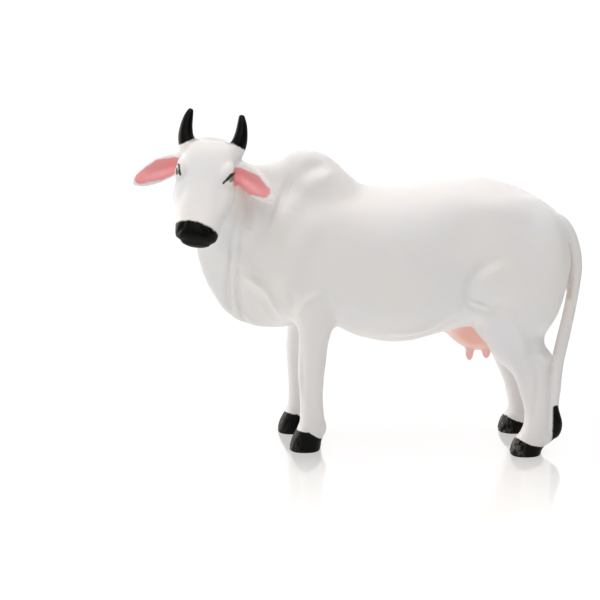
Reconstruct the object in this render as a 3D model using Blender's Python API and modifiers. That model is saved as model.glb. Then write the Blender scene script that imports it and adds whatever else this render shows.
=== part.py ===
"""Figure of a white humped cow standing with its head turned to its left.

The cow faces -X and its left side faces -Y. The hooves stand on z = 0. It is one moulding:
horns, ears, udder, hooves and tail are all one solid.
"""

import math

import bmesh
import bpy
import numpy as np
from mathutils import Matrix, Vector

# Driving dimensions. The tables below are in millimetres; MM turns them into metres.
MM = 0.001
STANCE_FRONT = 7.8
STANCE_REAR = 11.4
STANCE_FAR_REAR = 8.4
FORELEG_SPREAD = 1.8
FAR_HINDLEG_SPREAD = 3.0
FAR_FORELEG_STEP = -4.1
FAR_HINDLEG_STEP = -2.4
FAR_HINDLEG_LEAN = -3.4
SOLE_LEVEL = -1.1
POLL = (-55.0, -12.0, 105.9)
HEAD_TURN = math.radians(76.0)
HEAD_DROP = math.radians(56.0)
HEAD_ROLL = math.radians(3.0)
HEAD_LEAN = math.radians(2.5)

# Resolution of the solid, in millimetres, and how often the body's masses are smoothed together.
MASS_VOXEL = 1.2
MASS_PASSES = 22
SKIN_VOXEL = 0.7
SKIN_PASSES = 4
TRIANGLES = 9600

WHITE = (0.78, 0.76, 0.74, 1.0)

DOME_TURNS = np.radians((30, 60, 80))

TRUNK = (
    # x, y, z of the widest level, half width, rise to the back, drop to the belly
    (62.6, 0, 69.0, 3.0, 4.6, 7.0),
    (59.6, 0, 68.4, 9.0, 9.8, 14.0),
    (53.6, 0, 67.6, 13.6, 15.8, 19.0),
    (46.0, 0, 66.5, 16.0, 20.8, 21.0),
    (38.0, 0, 65.0, 17.4, 25.2, 19.8),
    (30.0, 0, 63.5, 18.2, 27.2, 20.0),
    (20.0, 0, 61.0, 19.6, 28.8, 22.0),
    (8.0, 0, 60.0, 20.4, 28.2, 24.9),
    (-4.0, 0, 60.5, 19.4, 27.0, 23.8),
    (-14.0, 0, 62.0, 17.6, 25.6, 20.4),
    (-24.0, 0, 64.0, 15.6, 24.6, 22.4),
    (-33.0, 0, 65.0, 13.2, 23.6, 25.0),
    (-40.0, 0, 65.0, 10.0, 21.0, 23.0),
    (-45.0, -0.5, 65.0, 6.0, 14.0, 16.0),
)
CREST = (
    # hump and crest of the neck: x, y, z, half width, rise, drop
    (-2.0, 0, 80.0, 7.0, 6.0, 8.0),
    (-9.0, 0, 80.0, 8.4, 9.0, 8.0),
    (-14.5, 0, 81.0, 9.0, 12.2, 9.0),
    (-19.5, 0, 82.0, 9.0, 16.2, 10.0),
    (-25.5, 0, 83.0, 8.4, 17.6, 11.0),
    (-31.5, 0, 83.0, 7.8, 16.6, 11.0),
    (-37.0, -1.0, 84.0, 7.0, 13.3, 11.0),
    (-43.0, -4.0, 86.0, 6.2, 11.4, 10.0),
    (-49.0, -8.5, 89.0, 5.6, 9.8, 9.0),
)
NECK = (
    (-53.5, -10.0, 95.5, 7.0, 8.0, 8.0),
    (-51.5, -9.0, 90.5, 8.6, 9.0, 12.0),
    (-48.0, -6.5, 84.0, 9.6, 11.0, 15.0),
    (-42.0, -3.5, 78.5, 10.8, 15.0, 18.0),
    (-34.0, -1.0, 73.5, 12.6, 20.0, 22.0),
    (-25.0, 0, 70.0, 14.0, 22.0, 24.0),
)
DEWLAP = (
    # x, y, z of the middle, half width, rise, drop to the hanging edge
    (-55.4, -12.0, 85.0, 4.0, 4.0, 5.0),
    (-54.4, -10.6, 79.0, 5.6, 6.0, 8.2),
    (-51.4, -8.2, 72.0, 7.0, 8.0, 10.4),
    (-46.6, -5.4, 65.0, 8.0, 10.0, 14.6),
    (-39.6, -2.6, 59.5, 8.6, 12.0, 19.4),
    (-31.0, -0.8, 56.5, 8.6, 12.0, 18.6),
    (-22.0, 0, 56.0, 7.4, 10.0, 13.6),
)
KNOBS = (
    # hocks and heels: on the fore or the hind leg, x, z, the three radii
    ("fore", -20.0, 6.2, 2.8, 3.4, 3.2),
    ("hind", 54.7, 5.0, 3.6, 3.5, 3.4),
    ("hind", 52.8, 32.8, 3.9, 3.2, 3.6),
)
# The head is built facing -X with the poll at the origin and the forehead up, then turned into place.
SKULL = (
    (-32.0, -0.9, -3.4, 5.0, 3.0, 3.4),
    (-31.0, -0.9, -3.2, 6.5, 4.2, 5.2),
    (-28.8, -0.8, -3.0, 7.0, 4.8, 6.6),
    (-25.6, -0.7, -3.1, 7.4, 4.8, 7.6),
    (-22.6, -0.6, -3.5, 8.2, 4.9, 8.8),
    (-17.4, -0.4, -4.2, 9.4, 5.2, 10.8),
    (-12.2, 0, -5.0, 9.4, 5.8, 11.6),
    (-7.6, 0, -5.2, 9.6, 6.0, 11.4),
    (-3.0, 0, -5.2, 9.0, 5.6, 9.6),
    (0.6, 0, -5.4, 7.6, 4.4, 6.6),
    (2.6, 0, -5.6, 5.0, 2.4, 4.0),
)
HORN = (
    # x, y, z, half width, half depth, for the right horn
    (-3.6, 6.0, -4.6, 3.4, 3.2),
    (-1.0, 7.4, -4.2, 3.1, 3.0),
    (2.0, 8.6, -3.4, 2.7, 2.6),
    (5.0, 9.0, -2.6, 2.1, 2.1),
    (8.0, 8.8, -1.9, 1.6, 1.6),
    (10.4, 8.3, -1.4, 1.0, 1.0),
)
EAR = (
    # along the ear from its root to its tip: x, y, z, half width, half thickness
    (-4.8, 7.6, -5.8, 2.6, 1.9),
    (-6.6, 10.8, -5.2, 3.5, 1.6),
    (-8.9, 14.4, -4.7, 4.15, 1.4),
    (-11.3, 17.6, -4.5, 3.95, 1.3),
    (-13.5, 20.6, -4.6, 2.9, 1.2),
    (-14.8, 22.8, -4.9, 1.3, 1.0),
)
FORELEG = (
    # x, y, z, half width, half length fore and aft
    (-25.0, -5.0, 80.0, 3.0, 5.0),
    (-27.5, -2.2, 72.0, 5.0, 9.0),
    (-27.0, 0.2, 63.0, 6.0, 10.4),
    (-24.2, 1.6, 54.0, 6.2, 8.8),
    (-21.6, 1.6, 46.0, 5.6, 6.6),
    (-21.9, 1.0, 38.0, 4.7, 5.1),
    (-22.6, 0.4, 27.0, 4.2, 4.5),
    (-22.6, 0.2, 17.0, 3.6, 3.9),
    (-22.3, 0.0, 9.0, 3.9, 4.2),
    (-22.4, 0.0, 5.0, 3.9, 4.2),
)
FORE_HOOF = (
    (-22.8, 0, 7.4, 3.6, 3.9),
    (-23.4, 0, 4.0, 4.4, 4.5),
    (-24.4, 0, 0.6, 4.8, 5.2),
    (-25.2, 0, -3.0, 4.9, 5.2),
)
HINDLEG = (
    (44.0, -7.4, 84.0, 3.0, 8.0),
    (45.0, -4.2, 76.0, 6.0, 13.6),
    (46.0, -1.6, 64.0, 7.6, 15.6),
    (46.2, 0.0, 53.0, 7.2, 12.9),
    (43.6, 0.4, 44.0, 5.8, 11.1),
    (45.2, 0.2, 37.0, 4.8, 9.3),
    (48.4, 0.0, 31.0, 4.2, 6.8),
    (50.6, 0.0, 24.0, 3.8, 5.5),
    (52.0, 0.0, 16.5, 3.5, 4.4),
    (51.9, 0.0, 9.0, 3.9, 4.3),
    (51.4, 0.0, 5.0, 3.9, 4.1),
)
HIND_HOOF = (
    (50.8, 0, 7.2, 3.7, 3.7),
    (50.4, 0, 4.0, 4.4, 4.2),
    (48.9, 0, 0.6, 4.8, 5.2),
    (48.0, 0, -3.0, 4.9, 5.1),
)
TAIL = (
    # x, y, z, half width, half depth, down from the root
    (52.0, 0.0, 78.0, 3.0, 2.4),
    (58.4, -0.3, 75.0, 3.2, 2.8),
    (62.0, -1.2, 69.0, 2.6, 2.6),
    (63.6, -2.8, 61.0, 2.3, 2.3),
    (62.4, -5.4, 50.0, 2.1, 2.0),
    (60.0, -8.4, 39.0, 2.2, 2.1),
    (58.1, -10.4, 30.0, 2.2, 2.1),
    (57.5, -11.2, 21.0, 2.0, 2.0),
    (57.2, -11.4, 15.0, 1.9, 1.9),
    (57.9, -11.5, 9.2, 2.8, 2.6),
    (57.6, -11.4, 5.8, 2.5, 2.2),
    (57.3, -11.2, 4.2, 1.2, 1.1),
)
MASSES = (
    # muscle and bone under the skin: x, distance out, z, the three radii, tilt about Y in degrees
    ("shoulder", -27.0, 8.2, 66.0, 9.5, 7.2, 20.0, 24.0),
    ("stifle", 35.5, 11.8, 52.5, 8.0, 5.0, 10.0, -24.0),
    ("hip", 38.0, 6.6, 80.0, 14.0, 7.6, 7.6, 12.0),
)
SWELLS = (
    # broad rises or, when negative, hollows, on both sides: height, radius, x, distance out, z
    (-1.7, 9.0, 28.0, 17.0, 76.0),
    (1.0, 6.5, 40.0, 17.4, 58.0),
    (0.5, 5.0, 36.5, 17.2, 60.5),
    (1.3, 8.0, -27.0, 15.5, 66.5),
    (-0.8, 7.0, -23.0, 12.0, 86.0),
)
FOLDS = (
    # a line under the skin that lifts it or, when negative, sinks it:
    # height, width, on both sides, its points
    (-1.0, 2.2, True, (-30.5, 7.7, 89.2), (-33.8, 11.7, 83.4), (-37.6, 13.5, 76.6), (-41.5, 13.1, 70.7)),
    (-0.7, 1.5, False, (-45.5, -13.7, 69.5), (-49.0, -11.4, 61.2), (-49.6, -7.2, 51.8), (-48.7, -4.7, 46.0)),
    (-0.6, 1.5, False, (-44.0, -13.3, 68.4), (-46.2, -11.0, 59.4), (-45.6, -7.1, 50.0), (-44.2, -4.4, 43.8)),
    (1.1, 2.0, True, (-42.6, 11.6, 60.3), (-37.7, 11.4, 56.1), (-33.9, 12.3, 51.2), (-32.3, 8.9, 44.4)),
    (-1.1, 2.2, True, (-42.6, 10.6, 55.3), (-39.2, 9.4, 51.6), (-36.6, 8.9, 47.2), (-35.6, 6.9, 42.4)),
    (0.6, 3.0, True, (-11.0, 5.0, 92.4), (-16.5, 6.6, 92.2), (-21.9, 8.0, 90.2),
     (-26.4, 9.4, 86.6), (-28.0, 11.3, 82.6)),
    (-0.7, 3.2, True, (-13.4, 4.4, 96.6), (-18.4, 5.3, 95.8), (-22.6, 6.4, 94.8), (-26.4, 7.3, 91.7)),
    (-1.3, 4.4, True, (-16.4, 15.8, 77.3), (-21.9, 15.9, 69.5), (-25.1, 16.3, 61.3), (-27.0, 16.8, 55.9)),
    (1.1, 2.2, True, (-27.2, 14.6, 44.3), (-26.4, 16.6, 49.6), (-22.2, 17.2, 54.0), (-16.1, 16.8, 54.9)),
    (0.6, 3.0, True, (31.9, 17.4, 56.5), (33.6, 17.8, 61.5), (38.1, 17.5, 65.0), (44.5, 16.8, 66.6)),
    (-1.0, 2.0, True, (31.9, 16.2, 51.5), (28.0, 17.4, 56.4), (29.0, 18.0, 62.5), (33.1, 17.5, 67.6)),
    (-0.5, 2.0, True, (32.7, 16.4, 50.6), (37.4, 17.0, 51.0), (42.8, 18.0, 54.4)),
    (-0.8, 2.2, True, (51.7, 14.6, 45.0), (48.9, 16.0, 38.0), (50.0, 15.3, 31.1)),
    (0.9, 1.8, True, (40.4, 15.0, 36.0), (44.6, 14.9, 28.8), (47.3, 14.0, 20.3), (48.6, 14.6, 12.0)),
    (0.7, 1.6, True, (-27.4, 12.6, 40.3), (-27.6, 12.0, 28.5), (-26.6, 11.8, 20.2), (-25.4, 11.8, 12.3)),
)
FACE_FOLDS = (
    # the same in the head's own place before it is turned:
    # brow, crease under the eye, cheek line, mouth, nostril
    (0.8, 1.5, (-7.0, 9.0, -1.6), (-9.6, 8.6, 0.2), (-12.8, 7.2, -0.6)),
    (-0.7, 1.2, (-8.6, 9.6, -5.6), (-12.0, 9.4, -5.4), (-15.6, 8.4, -4.4)),
    (0.7, 1.8, (-14.6, 8.6, -7.6), (-19.4, 7.8, -6.2), (-24.4, 7.0, -5.2)),
    (-0.9, 0.9, (-23.4, 7.2, -6.8), (-27.6, 7.0, -7.2), (-31.2, 5.2, -6.8)),
    (-0.9, 1.0, (-31.6, 3.6, 0.6), (-32.2, 4.8, -1.2), (-32.0, 4.8, -2.6)),
)


def curve_through(rows, steps):
    """Rows of a table resampled on a smooth curve that passes through each of them."""
    rows = np.array(rows, float)
    padded = np.vstack([2 * rows[0] - rows[1], rows, 2 * rows[-1] - rows[-2]])
    found = []
    for i in range(len(rows) - 1):
        before, start, end, after = padded[i : i + 4]
        for t in np.arange(steps) / steps:
            found.append(
                0.5
                * (
                    2 * start
                    + (end - before) * t
                    + (2 * before - 5 * start + 4 * end - after) * t**2
                    + (3 * start - before - 3 * end + after) * t**3
                )
            )
    found.append(rows[-1])
    return np.array(found)


def loft(name, rows, across=(0, 1, 0), squareness=2.0, taper=0.0, steps=4, segments=32):
    """A closed skin over oval sections, with domed ends. A row is x, y, z, half size across, then the
    sizes to either side of the path: one number, or two where they differ. taper narrows the side that
    hangs."""
    stations = curve_through(rows, steps)
    points = stations[:, :3]
    tangents = np.gradient(points, axis=0)
    tangents /= np.linalg.norm(tangents, axis=1)[:, None]
    rings = []
    for end, way in ((0, -1), (-1, 1)):
        dome = min(stations[end, 3:]) * 0.6
        for turn in DOME_TURNS[::way]:
            rings.append((
                points[end] + way * tangents[end] * dome * math.sin(turn),
                tangents[end],
                stations[end, 3:] * math.cos(turn),
            ))
    middle = list(zip(points, tangents, stations[:, 3:]))
    rings = rings[:len(DOME_TURNS)] + middle + rings[len(DOME_TURNS):]
    mesh = bmesh.new()
    skin = [section(mesh, *ring, across, squareness, taper, segments) for ring in rings]
    for one, two in zip(skin, skin[1:]):
        for k in range(segments):
            after = (k + 1) % segments
            mesh.faces.new((one[k], one[after], two[after], two[k]))
    mesh.faces.new(reversed(skin[0]))
    mesh.faces.new(skin[-1])
    bmesh.ops.recalc_face_normals(mesh, faces=mesh.faces)
    return linked(name, mesh)


def section(mesh, point, tangent, sizes, across, squareness, taper, segments):
    """One oval ring of vertices round a point of the path."""
    along = Vector(tangent)
    side = Vector(across)
    side = (side - along * side.dot(along)).normalized()
    up = along.cross(side)
    ring = []
    for turn in np.linspace(0, 2 * math.pi, segments, endpoint=False):
        cosine, sine = math.cos(turn), math.sin(turn)
        over = math.copysign(abs(cosine) ** (2 / squareness), cosine)
        rise = math.copysign(abs(sine) ** (2 / squareness), sine)
        depth = sizes[1] if rise > 0 else sizes[-1]
        width = sizes[0] * over * (1 + taper * min(rise, 0))
        ring.append(mesh.verts.new((Vector(point) + side * width + up * (depth * rise)) * MM))
    return ring


def ball(name, centre, radii, turn=(0, 0, 0)):
    """An ellipsoid with its radii along its own axes, turned by angles in degrees about X, Y and Z."""
    mesh = bmesh.new()
    place = Matrix.Translation(Vector(centre) * MM)
    for angle, axis in zip(turn, "XYZ"):
        place = place @ Matrix.Rotation(math.radians(angle), 4, axis)
    place = place @ Matrix.Diagonal((*(r * MM for r in radii), 1))
    bmesh.ops.create_uvsphere(mesh, u_segments=32, v_segments=20, radius=1, matrix=place)
    return linked(name, mesh)


def linked(name, mesh):
    data = bpy.data.meshes.new(name)
    mesh.to_mesh(data)
    mesh.free()
    made = bpy.data.objects.new(name, data)
    bpy.context.scene.collection.objects.link(made)
    return made


def shifted(rows, x=0.0, y=0.0, side=1):
    """A table moved along the body and out to one side; side -1 mirrors it to the cow's left."""
    return [(row[0] + x, side * (row[1] + y), *row[2:]) for row in rows]


def leant(x, z, lean):
    """How far a leg has moved along the body at height z when it leans above the hoof."""
    return x + lean * min(max((z - 4.0) / 15.0, 0.0), 1.0)


def spread_out(y, z, spread):
    """How far out a leg is at height z when it stands wider at the body than at its hoof."""
    return y + spread * min(max((z - 7.0) / 30.0, 0.0), 1.0)


def leg(kind, rows, hoof_rows, x, y, side, lean=0.0, spread=0.0):
    """A leg with its hoof, heel and hock."""
    rows = [(leant(row[0], row[2], lean), spread_out(row[1], row[2], spread), *row[2:]) for row in rows]
    pieces = [
        loft(kind + "_leg", shifted(rows, x, y, side), squareness=2.2),
        loft(kind + "_hoof", shifted(hoof_rows, x, y, side), squareness=2.6, steps=3),
    ]
    for where, knob_x, z, length, width, height in KNOBS:
        if where == kind:
            centre = (leant(knob_x + x, z, lean), side * spread_out(y, z, spread), z)
            pieces.append(ball(kind + "_knob", centre, (length, width, height)))
    return pieces


def head_place():
    """Where the head goes: rolled, dropped at the nose, turned to the cow's left and leant,
    the poll at POLL."""
    return (
        Matrix.Translation(Vector(POLL) * MM)
        @ Matrix.Rotation(HEAD_LEAN, 4, "Y")
        @ Matrix.Rotation(HEAD_TURN, 4, "Z")
        @ Matrix.Rotation(-HEAD_DROP, 4, "Y")
        @ Matrix.Rotation(HEAD_ROLL, 4, "X")
    )


def head():
    pieces = [loft("skull", SKULL, squareness=2.3, taper=0.16)]
    for side in (1, -1):
        pieces.append(loft("horn", shifted(HORN, side=side)))
        pieces.append(loft("ear", shifted(EAR, side=side), across=(1, 0, 0)))
        pieces.append(ball("brow", (-9.4, side * 6.8, -2.2), (5.0, 3.0, 2.6)))
        pieces.append(ball("eye", (-10.6, side * 7.6, -3.6), (2.6, 2.6, 2.2)))
        pieces.append(ball("cheek", (-12.0, side * 5.6, -10.0), (7.0, 3.6, 6.0)))
    for piece in pieces:
        piece.data.transform(head_place())
    return pieces


def body():
    pieces = [
        loft("trunk", TRUNK[::-1], squareness=2.2),
        loft("crest", CREST[::-1]),
        loft("neck", NECK),
        loft("dewlap", DEWLAP, taper=0.62),
        ball("udder", (30.7, 0, 41.3), (12.5, 9.0, 9.5), (0, 25.0, 0)),
    ]
    for side in (1, -1):
        for name, x, out, z, length, width, height, tilt in MASSES:
            pieces.append(ball(name, (x, side * out, z), (length, width, height), (0, tilt, 0)))
    return pieces


def trimmings():
    """What is too fine for the heavy smoothing of the body."""
    pieces = [loft("tail", TAIL)]
    for side in (1, -1):
        pieces.append(ball("front_teat", (29.6, side * 4.4, 32.0), (1.5, 1.5, 3.2)))
        pieces.append(ball("rear_teat", (35.2, side * 4.4, 32.4), (1.5, 1.5, 2.9)))
    return pieces


def legs():
    return [
        *leg("fore", FORELEG, FORE_HOOF, 0, STANCE_FRONT, -1, spread=FORELEG_SPREAD),
        *leg("fore", FORELEG, FORE_HOOF, FAR_FORELEG_STEP, STANCE_FRONT, 1, spread=FORELEG_SPREAD),
        *leg("hind", HINDLEG, HIND_HOOF, 0, STANCE_REAR, -1),
        *leg("hind", HINDLEG, HIND_HOOF, FAR_HINDLEG_STEP, STANCE_FAR_REAR, 1,
             lean=FAR_HINDLEG_LEAN, spread=FAR_HINDLEG_SPREAD),
    ]


def baked(obj):
    """The object's mesh with its modifiers applied."""
    graph = bpy.context.evaluated_depsgraph_get()
    obj.data = bpy.data.meshes.new_from_object(obj.evaluated_get(graph))
    obj.modifiers.clear()
    return obj


def fused(name, pieces, voxel, passes, upper_passes=0):
    """The overlapping pieces as one closed skin, smoothed all over and again above the knees."""
    mesh = bmesh.new()
    for piece in pieces:
        mesh.from_mesh(piece.data)
        bpy.data.objects.remove(piece)
    whole = linked(name, mesh)
    skin = whole.modifiers.new("Skin", "REMESH")
    skin.mode = "VOXEL"
    skin.voxel_size = voxel * MM
    baked(whole)
    upper = whole.vertex_groups.new(name="upper")
    for vertex in whole.data.vertices:
        weight = (vertex.co.z / MM - 30.0) / 14.0
        if weight > 0:
            upper.add([vertex.index], min(weight, 1.0), "REPLACE")
    for group, times in (("", passes), ("upper", upper_passes)):
        if times:
            soften = whole.modifiers.new("Soften", "SMOOTH")
            soften.factor = 0.5
            soften.iterations = times
            soften.vertex_group = group
    baked(whole)
    whole.vertex_groups.clear()
    return whole


def nearest_on_line(places, line):
    """How far each place is from a line of points, and how far along the line its nearest point is,
    0 to 1."""
    apart = np.full(len(places), np.inf)
    along = np.zeros(len(places))
    for i, (start, end) in enumerate(zip(line, line[1:])):
        run = end - start
        t = np.clip((places - start) @ run / (run @ run), 0, 1)
        reach = np.linalg.norm(places - start - t[:, None] * run, axis=1)
        nearer = reach < apart
        apart[nearer] = reach[nearer]
        along[nearer] = (i + t[nearer]) / (len(line) - 1)
    return apart, along


def read(cow, key):
    found = np.empty(len(cow.data.vertices) * 3)
    cow.data.vertices.foreach_get(key, found)
    return found.reshape(-1, 3)


def written(cow, places):
    cow.data.vertices.foreach_set("co", (places * MM).ravel())
    cow.data.update()


def swollen(cow):
    """Raises or hollows the skin broadly round each place, before the lines are drawn."""
    places = read(cow, "co") / MM
    rise = np.zeros(len(places))
    for height, radius, x, out, z in SWELLS:
        for side in (1, -1):
            apart = np.linalg.norm(places - (x, side * out, z), axis=1)
            rise += height * np.exp(-((apart / radius) ** 2))
    written(cow, places + read(cow, "normal") * rise[:, None])


def carved(cow, folds):
    """Lifts or sinks the skin along each line, fading to nothing at the line's ends."""
    places = read(cow, "co") / MM
    normals = read(cow, "normal")
    moved = places.copy()
    for height, width, points in folds:
        apart, along = nearest_on_line(places, curve_through(points, 5))
        fade = np.sin(math.pi * np.clip(along, 0.04, 0.96)) ** 0.6
        moved += normals * (height * fade * np.exp(-((apart / width) ** 2)))[:, None]
    written(cow, moved)


def all_folds():
    lines = []
    for height, width, both, *points in FOLDS:
        for side in (1, -1) if both else (1,):
            lines.append((height, width, [(x, side * y, z) for x, y, z in points]))
    for height, width, *points in FACE_FOLDS:
        for side in (1, -1):
            turned = [head_place() @ (Vector((x, side * y, z)) * MM) / MM for x, y, z in points]
            lines.append((height, width, turned))
    return lines


def thinned(cow, triangles):
    """Fewer, larger triangles, as many as the solid may have."""
    cow.data.calc_loop_triangles()
    thin = cow.modifiers.new("Thin", "DECIMATE")
    thin.ratio = triangles / len(cow.data.loop_triangles)
    thin.use_collapse_triangulate = True
    return baked(cow)


def soled(cow):
    """Cuts the hooves off flat at the ground and closes them there."""
    mesh = bmesh.new()
    mesh.from_mesh(cow.data)
    bmesh.ops.bisect_plane(
        mesh,
        geom=mesh.verts[:] + mesh.edges[:] + mesh.faces[:],
        dist=0.05 * MM,
        plane_co=(0, 0, SOLE_LEVEL * MM),
        plane_no=(0, 0, -1),
        clear_outer=True,
    )
    rim = [edge for edge in mesh.edges if edge.is_boundary]
    soles = bmesh.ops.holes_fill(mesh, edges=rim)["faces"]
    for vertex in {vertex for face in soles for vertex in face.verts}:
        vertex.co.z = SOLE_LEVEL * MM
    bmesh.ops.triangulate(mesh, faces=mesh.faces[:])
    bmesh.ops.recalc_face_normals(mesh, faces=mesh.faces)
    mesh.to_mesh(cow.data)
    mesh.free()


def grounded(cow):
    """Stands the cow on z = 0 with the middle of its box over the origin."""
    corners = np.array(cow.bound_box)
    middle = (corners.min(axis=0) + corners.max(axis=0)) / 2
    cow.data.transform(Matrix.Translation((-middle[0], -middle[1], -SOLE_LEVEL * MM)))


def painted(cow):
    """The white of the body; the solid has one material."""
    white = bpy.data.materials.new("white_painted_plastic")
    white.use_nodes = True
    shader = white.node_tree.nodes["Principled BSDF"]
    shader.inputs["Base Color"].default_value = WHITE
    shader.inputs["Roughness"].default_value = 0.42
    shader.inputs["Metallic"].default_value = 0.0
    white.diffuse_color = WHITE
    cow.data.materials.append(white)


def main():
    for old in list(bpy.data.objects):
        bpy.data.objects.remove(old)
    masses = fused("masses", body() + legs(), MASS_VOXEL, 5, MASS_PASSES)
    cow = fused("cow", [masses, *trimmings(), *head()], SKIN_VOXEL, SKIN_PASSES)
    swollen(cow)
    carved(cow, all_folds())
    thinned(cow, TRIANGLES)
    soled(cow)
    grounded(cow)
    painted(cow)
    figure = bpy.data.collections.new("humped_cow")
    bpy.context.scene.collection.children.link(figure)
    bpy.context.scene.collection.objects.unlink(cow)
    figure.objects.link(cow)


main()
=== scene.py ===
"""Looks for the figurine of a white humped cow standing with its head turned to its left.

The cow faces -X and its left side faces -Y. It is one plastic moulding with painted horns, muzzle,
eyes, ears, udder, hooves and tail tuft, so it is one piece here: masses pulled out and fused, then
carved and painted. Tables are in millimetres in the carver's own frame, with the middle of the body
on Y = 0 and the ground near Z = 0; the finished figure is then set where the solid stands.
"""

import math

import bmesh
import bpy
import numpy as np
from mathutils import Matrix, Vector


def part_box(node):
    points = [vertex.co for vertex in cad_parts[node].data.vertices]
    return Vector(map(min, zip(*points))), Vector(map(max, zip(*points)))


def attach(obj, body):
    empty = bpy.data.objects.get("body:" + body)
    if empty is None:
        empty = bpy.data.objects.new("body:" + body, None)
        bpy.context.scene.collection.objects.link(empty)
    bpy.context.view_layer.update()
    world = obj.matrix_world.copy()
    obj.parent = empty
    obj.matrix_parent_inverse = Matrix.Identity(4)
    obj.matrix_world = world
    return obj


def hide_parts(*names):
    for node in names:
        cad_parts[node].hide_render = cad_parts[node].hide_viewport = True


bl_info = {
    "name": "Humped Cow Figurine",
    "version": (1, 0, 0),
    "blender": (4, 5, 0),
    "location": "3D View > Sidebar > Cow",
    "description": "Models, carves and paints a plastic figurine of a humped cow and sets it in a studio",
    "category": "Add Mesh",
}

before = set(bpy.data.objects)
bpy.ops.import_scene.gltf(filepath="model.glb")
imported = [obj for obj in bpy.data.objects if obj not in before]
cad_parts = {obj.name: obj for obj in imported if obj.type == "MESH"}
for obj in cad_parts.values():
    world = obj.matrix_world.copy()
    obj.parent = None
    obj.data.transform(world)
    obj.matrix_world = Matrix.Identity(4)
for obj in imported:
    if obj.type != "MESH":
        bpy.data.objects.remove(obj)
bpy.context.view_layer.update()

MM = 0.001
ROUND = 32
DOME_TURNS = np.radians((30, 60, 80))
# Heights over which a leg leans forward, spreads out, and takes the body's heavier smoothing.
LEAN_FROM, LEAN_OVER = 4.0, 15.0
SPREAD_FROM, SPREAD_OVER = 7.0, 30.0
KNEE, KNEE_FADE = 30.0, 14.0

TRUNK = (
    # x, y, z of the widest level, half width, rise to the back, drop to the belly
    (62.6, 0, 69.0, 3.0, 4.6, 7.0),
    (59.6, 0, 68.4, 9.0, 9.8, 14.0),
    (53.6, 0, 67.6, 13.6, 15.8, 19.0),
    (46.0, 0, 66.5, 16.0, 20.8, 21.0),
    (38.0, 0, 65.0, 17.4, 25.2, 19.8),
    (30.0, 0, 63.5, 18.2, 27.2, 20.0),
    (20.0, 0, 61.0, 19.6, 28.8, 22.0),
    (8.0, 0, 60.0, 20.4, 28.2, 24.9),
    (-4.0, 0, 60.5, 19.4, 27.0, 23.8),
    (-14.0, 0, 62.0, 17.6, 25.6, 20.4),
    (-24.0, 0, 64.0, 15.6, 24.6, 22.4),
    (-33.0, 0, 65.0, 13.2, 23.6, 25.0),
    (-40.0, 0, 65.0, 10.0, 21.0, 23.0),
    (-45.0, -0.5, 65.0, 6.0, 14.0, 16.0),
)
CREST = (
    # hump and crest of the neck: x, y, z, half width, rise, drop
    (-2.0, 0, 80.0, 7.0, 6.0, 8.0),
    (-9.0, 0, 80.0, 8.4, 9.0, 8.0),
    (-14.5, 0, 81.0, 9.0, 12.2, 9.0),
    (-19.5, 0, 82.0, 9.0, 16.2, 10.0),
    (-25.5, 0, 83.0, 8.4, 17.6, 11.0),
    (-31.5, 0, 83.0, 7.8, 16.6, 11.0),
    (-37.0, -1.0, 84.0, 7.0, 13.3, 11.0),
    (-43.0, -4.0, 86.0, 6.2, 11.4, 10.0),
    (-49.0, -8.5, 89.0, 5.6, 9.8, 9.0),
)
NECK = (
    (-53.5, -10.0, 95.5, 7.0, 8.0, 8.0),
    (-51.5, -9.0, 90.5, 8.6, 9.0, 12.0),
    (-48.0, -6.5, 84.0, 9.6, 11.0, 15.0),
    (-42.0, -3.5, 78.5, 10.8, 15.0, 18.0),
    (-34.0, -1.0, 73.5, 12.6, 20.0, 22.0),
    (-25.0, 0, 70.0, 14.0, 22.0, 24.0),
)
DEWLAP = (
    # x, y, z of the middle, half width, rise, drop to the hanging edge
    (-55.4, -12.0, 85.0, 4.0, 4.0, 5.0),
    (-54.4, -10.6, 79.0, 5.6, 6.0, 8.2),
    (-51.4, -8.2, 72.0, 7.0, 8.0, 10.4),
    (-46.6, -5.4, 65.0, 8.0, 10.0, 14.6),
    (-39.6, -2.6, 59.5, 8.6, 12.0, 19.4),
    (-31.0, -0.8, 56.5, 8.6, 12.0, 18.6),
    (-22.0, 0, 56.0, 7.4, 10.0, 13.6),
)
FORELEG = (
    # x, y, z, half width, half length fore and aft
    (-25.0, -5.0, 80.0, 3.0, 5.0),
    (-27.5, -2.2, 72.0, 5.0, 9.0),
    (-27.0, 0.2, 63.0, 6.0, 10.4),
    (-24.2, 1.6, 54.0, 6.2, 8.8),
    (-21.6, 1.6, 46.0, 5.6, 6.6),
    (-21.9, 1.0, 38.0, 4.7, 5.1),
    (-22.6, 0.4, 27.0, 4.2, 4.5),
    (-22.6, 0.2, 17.0, 3.6, 3.9),
    (-22.3, 0.0, 9.0, 3.9, 4.2),
    (-22.4, 0.0, 5.0, 3.9, 4.2),
)
FORE_HOOF = (
    (-22.8, 0, 7.4, 3.6, 3.9),
    (-23.4, 0, 4.0, 4.4, 4.5),
    (-24.4, 0, 0.6, 4.8, 5.2),
    (-25.2, 0, -3.0, 4.9, 5.2),
)
HINDLEG = (
    (44.0, -7.4, 84.0, 3.0, 8.0),
    (45.0, -4.2, 76.0, 6.0, 13.6),
    (46.0, -1.6, 64.0, 7.6, 15.6),
    (46.2, 0.0, 53.0, 7.2, 12.9),
    (43.6, 0.4, 44.0, 5.8, 11.1),
    (45.2, 0.2, 37.0, 4.8, 9.3),
    (48.4, 0.0, 31.0, 4.2, 6.8),
    (50.6, 0.0, 24.0, 3.8, 5.5),
    (52.0, 0.0, 16.5, 3.5, 4.4),
    (51.9, 0.0, 9.0, 3.9, 4.3),
    (51.4, 0.0, 5.0, 3.9, 4.1),
)
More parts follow.
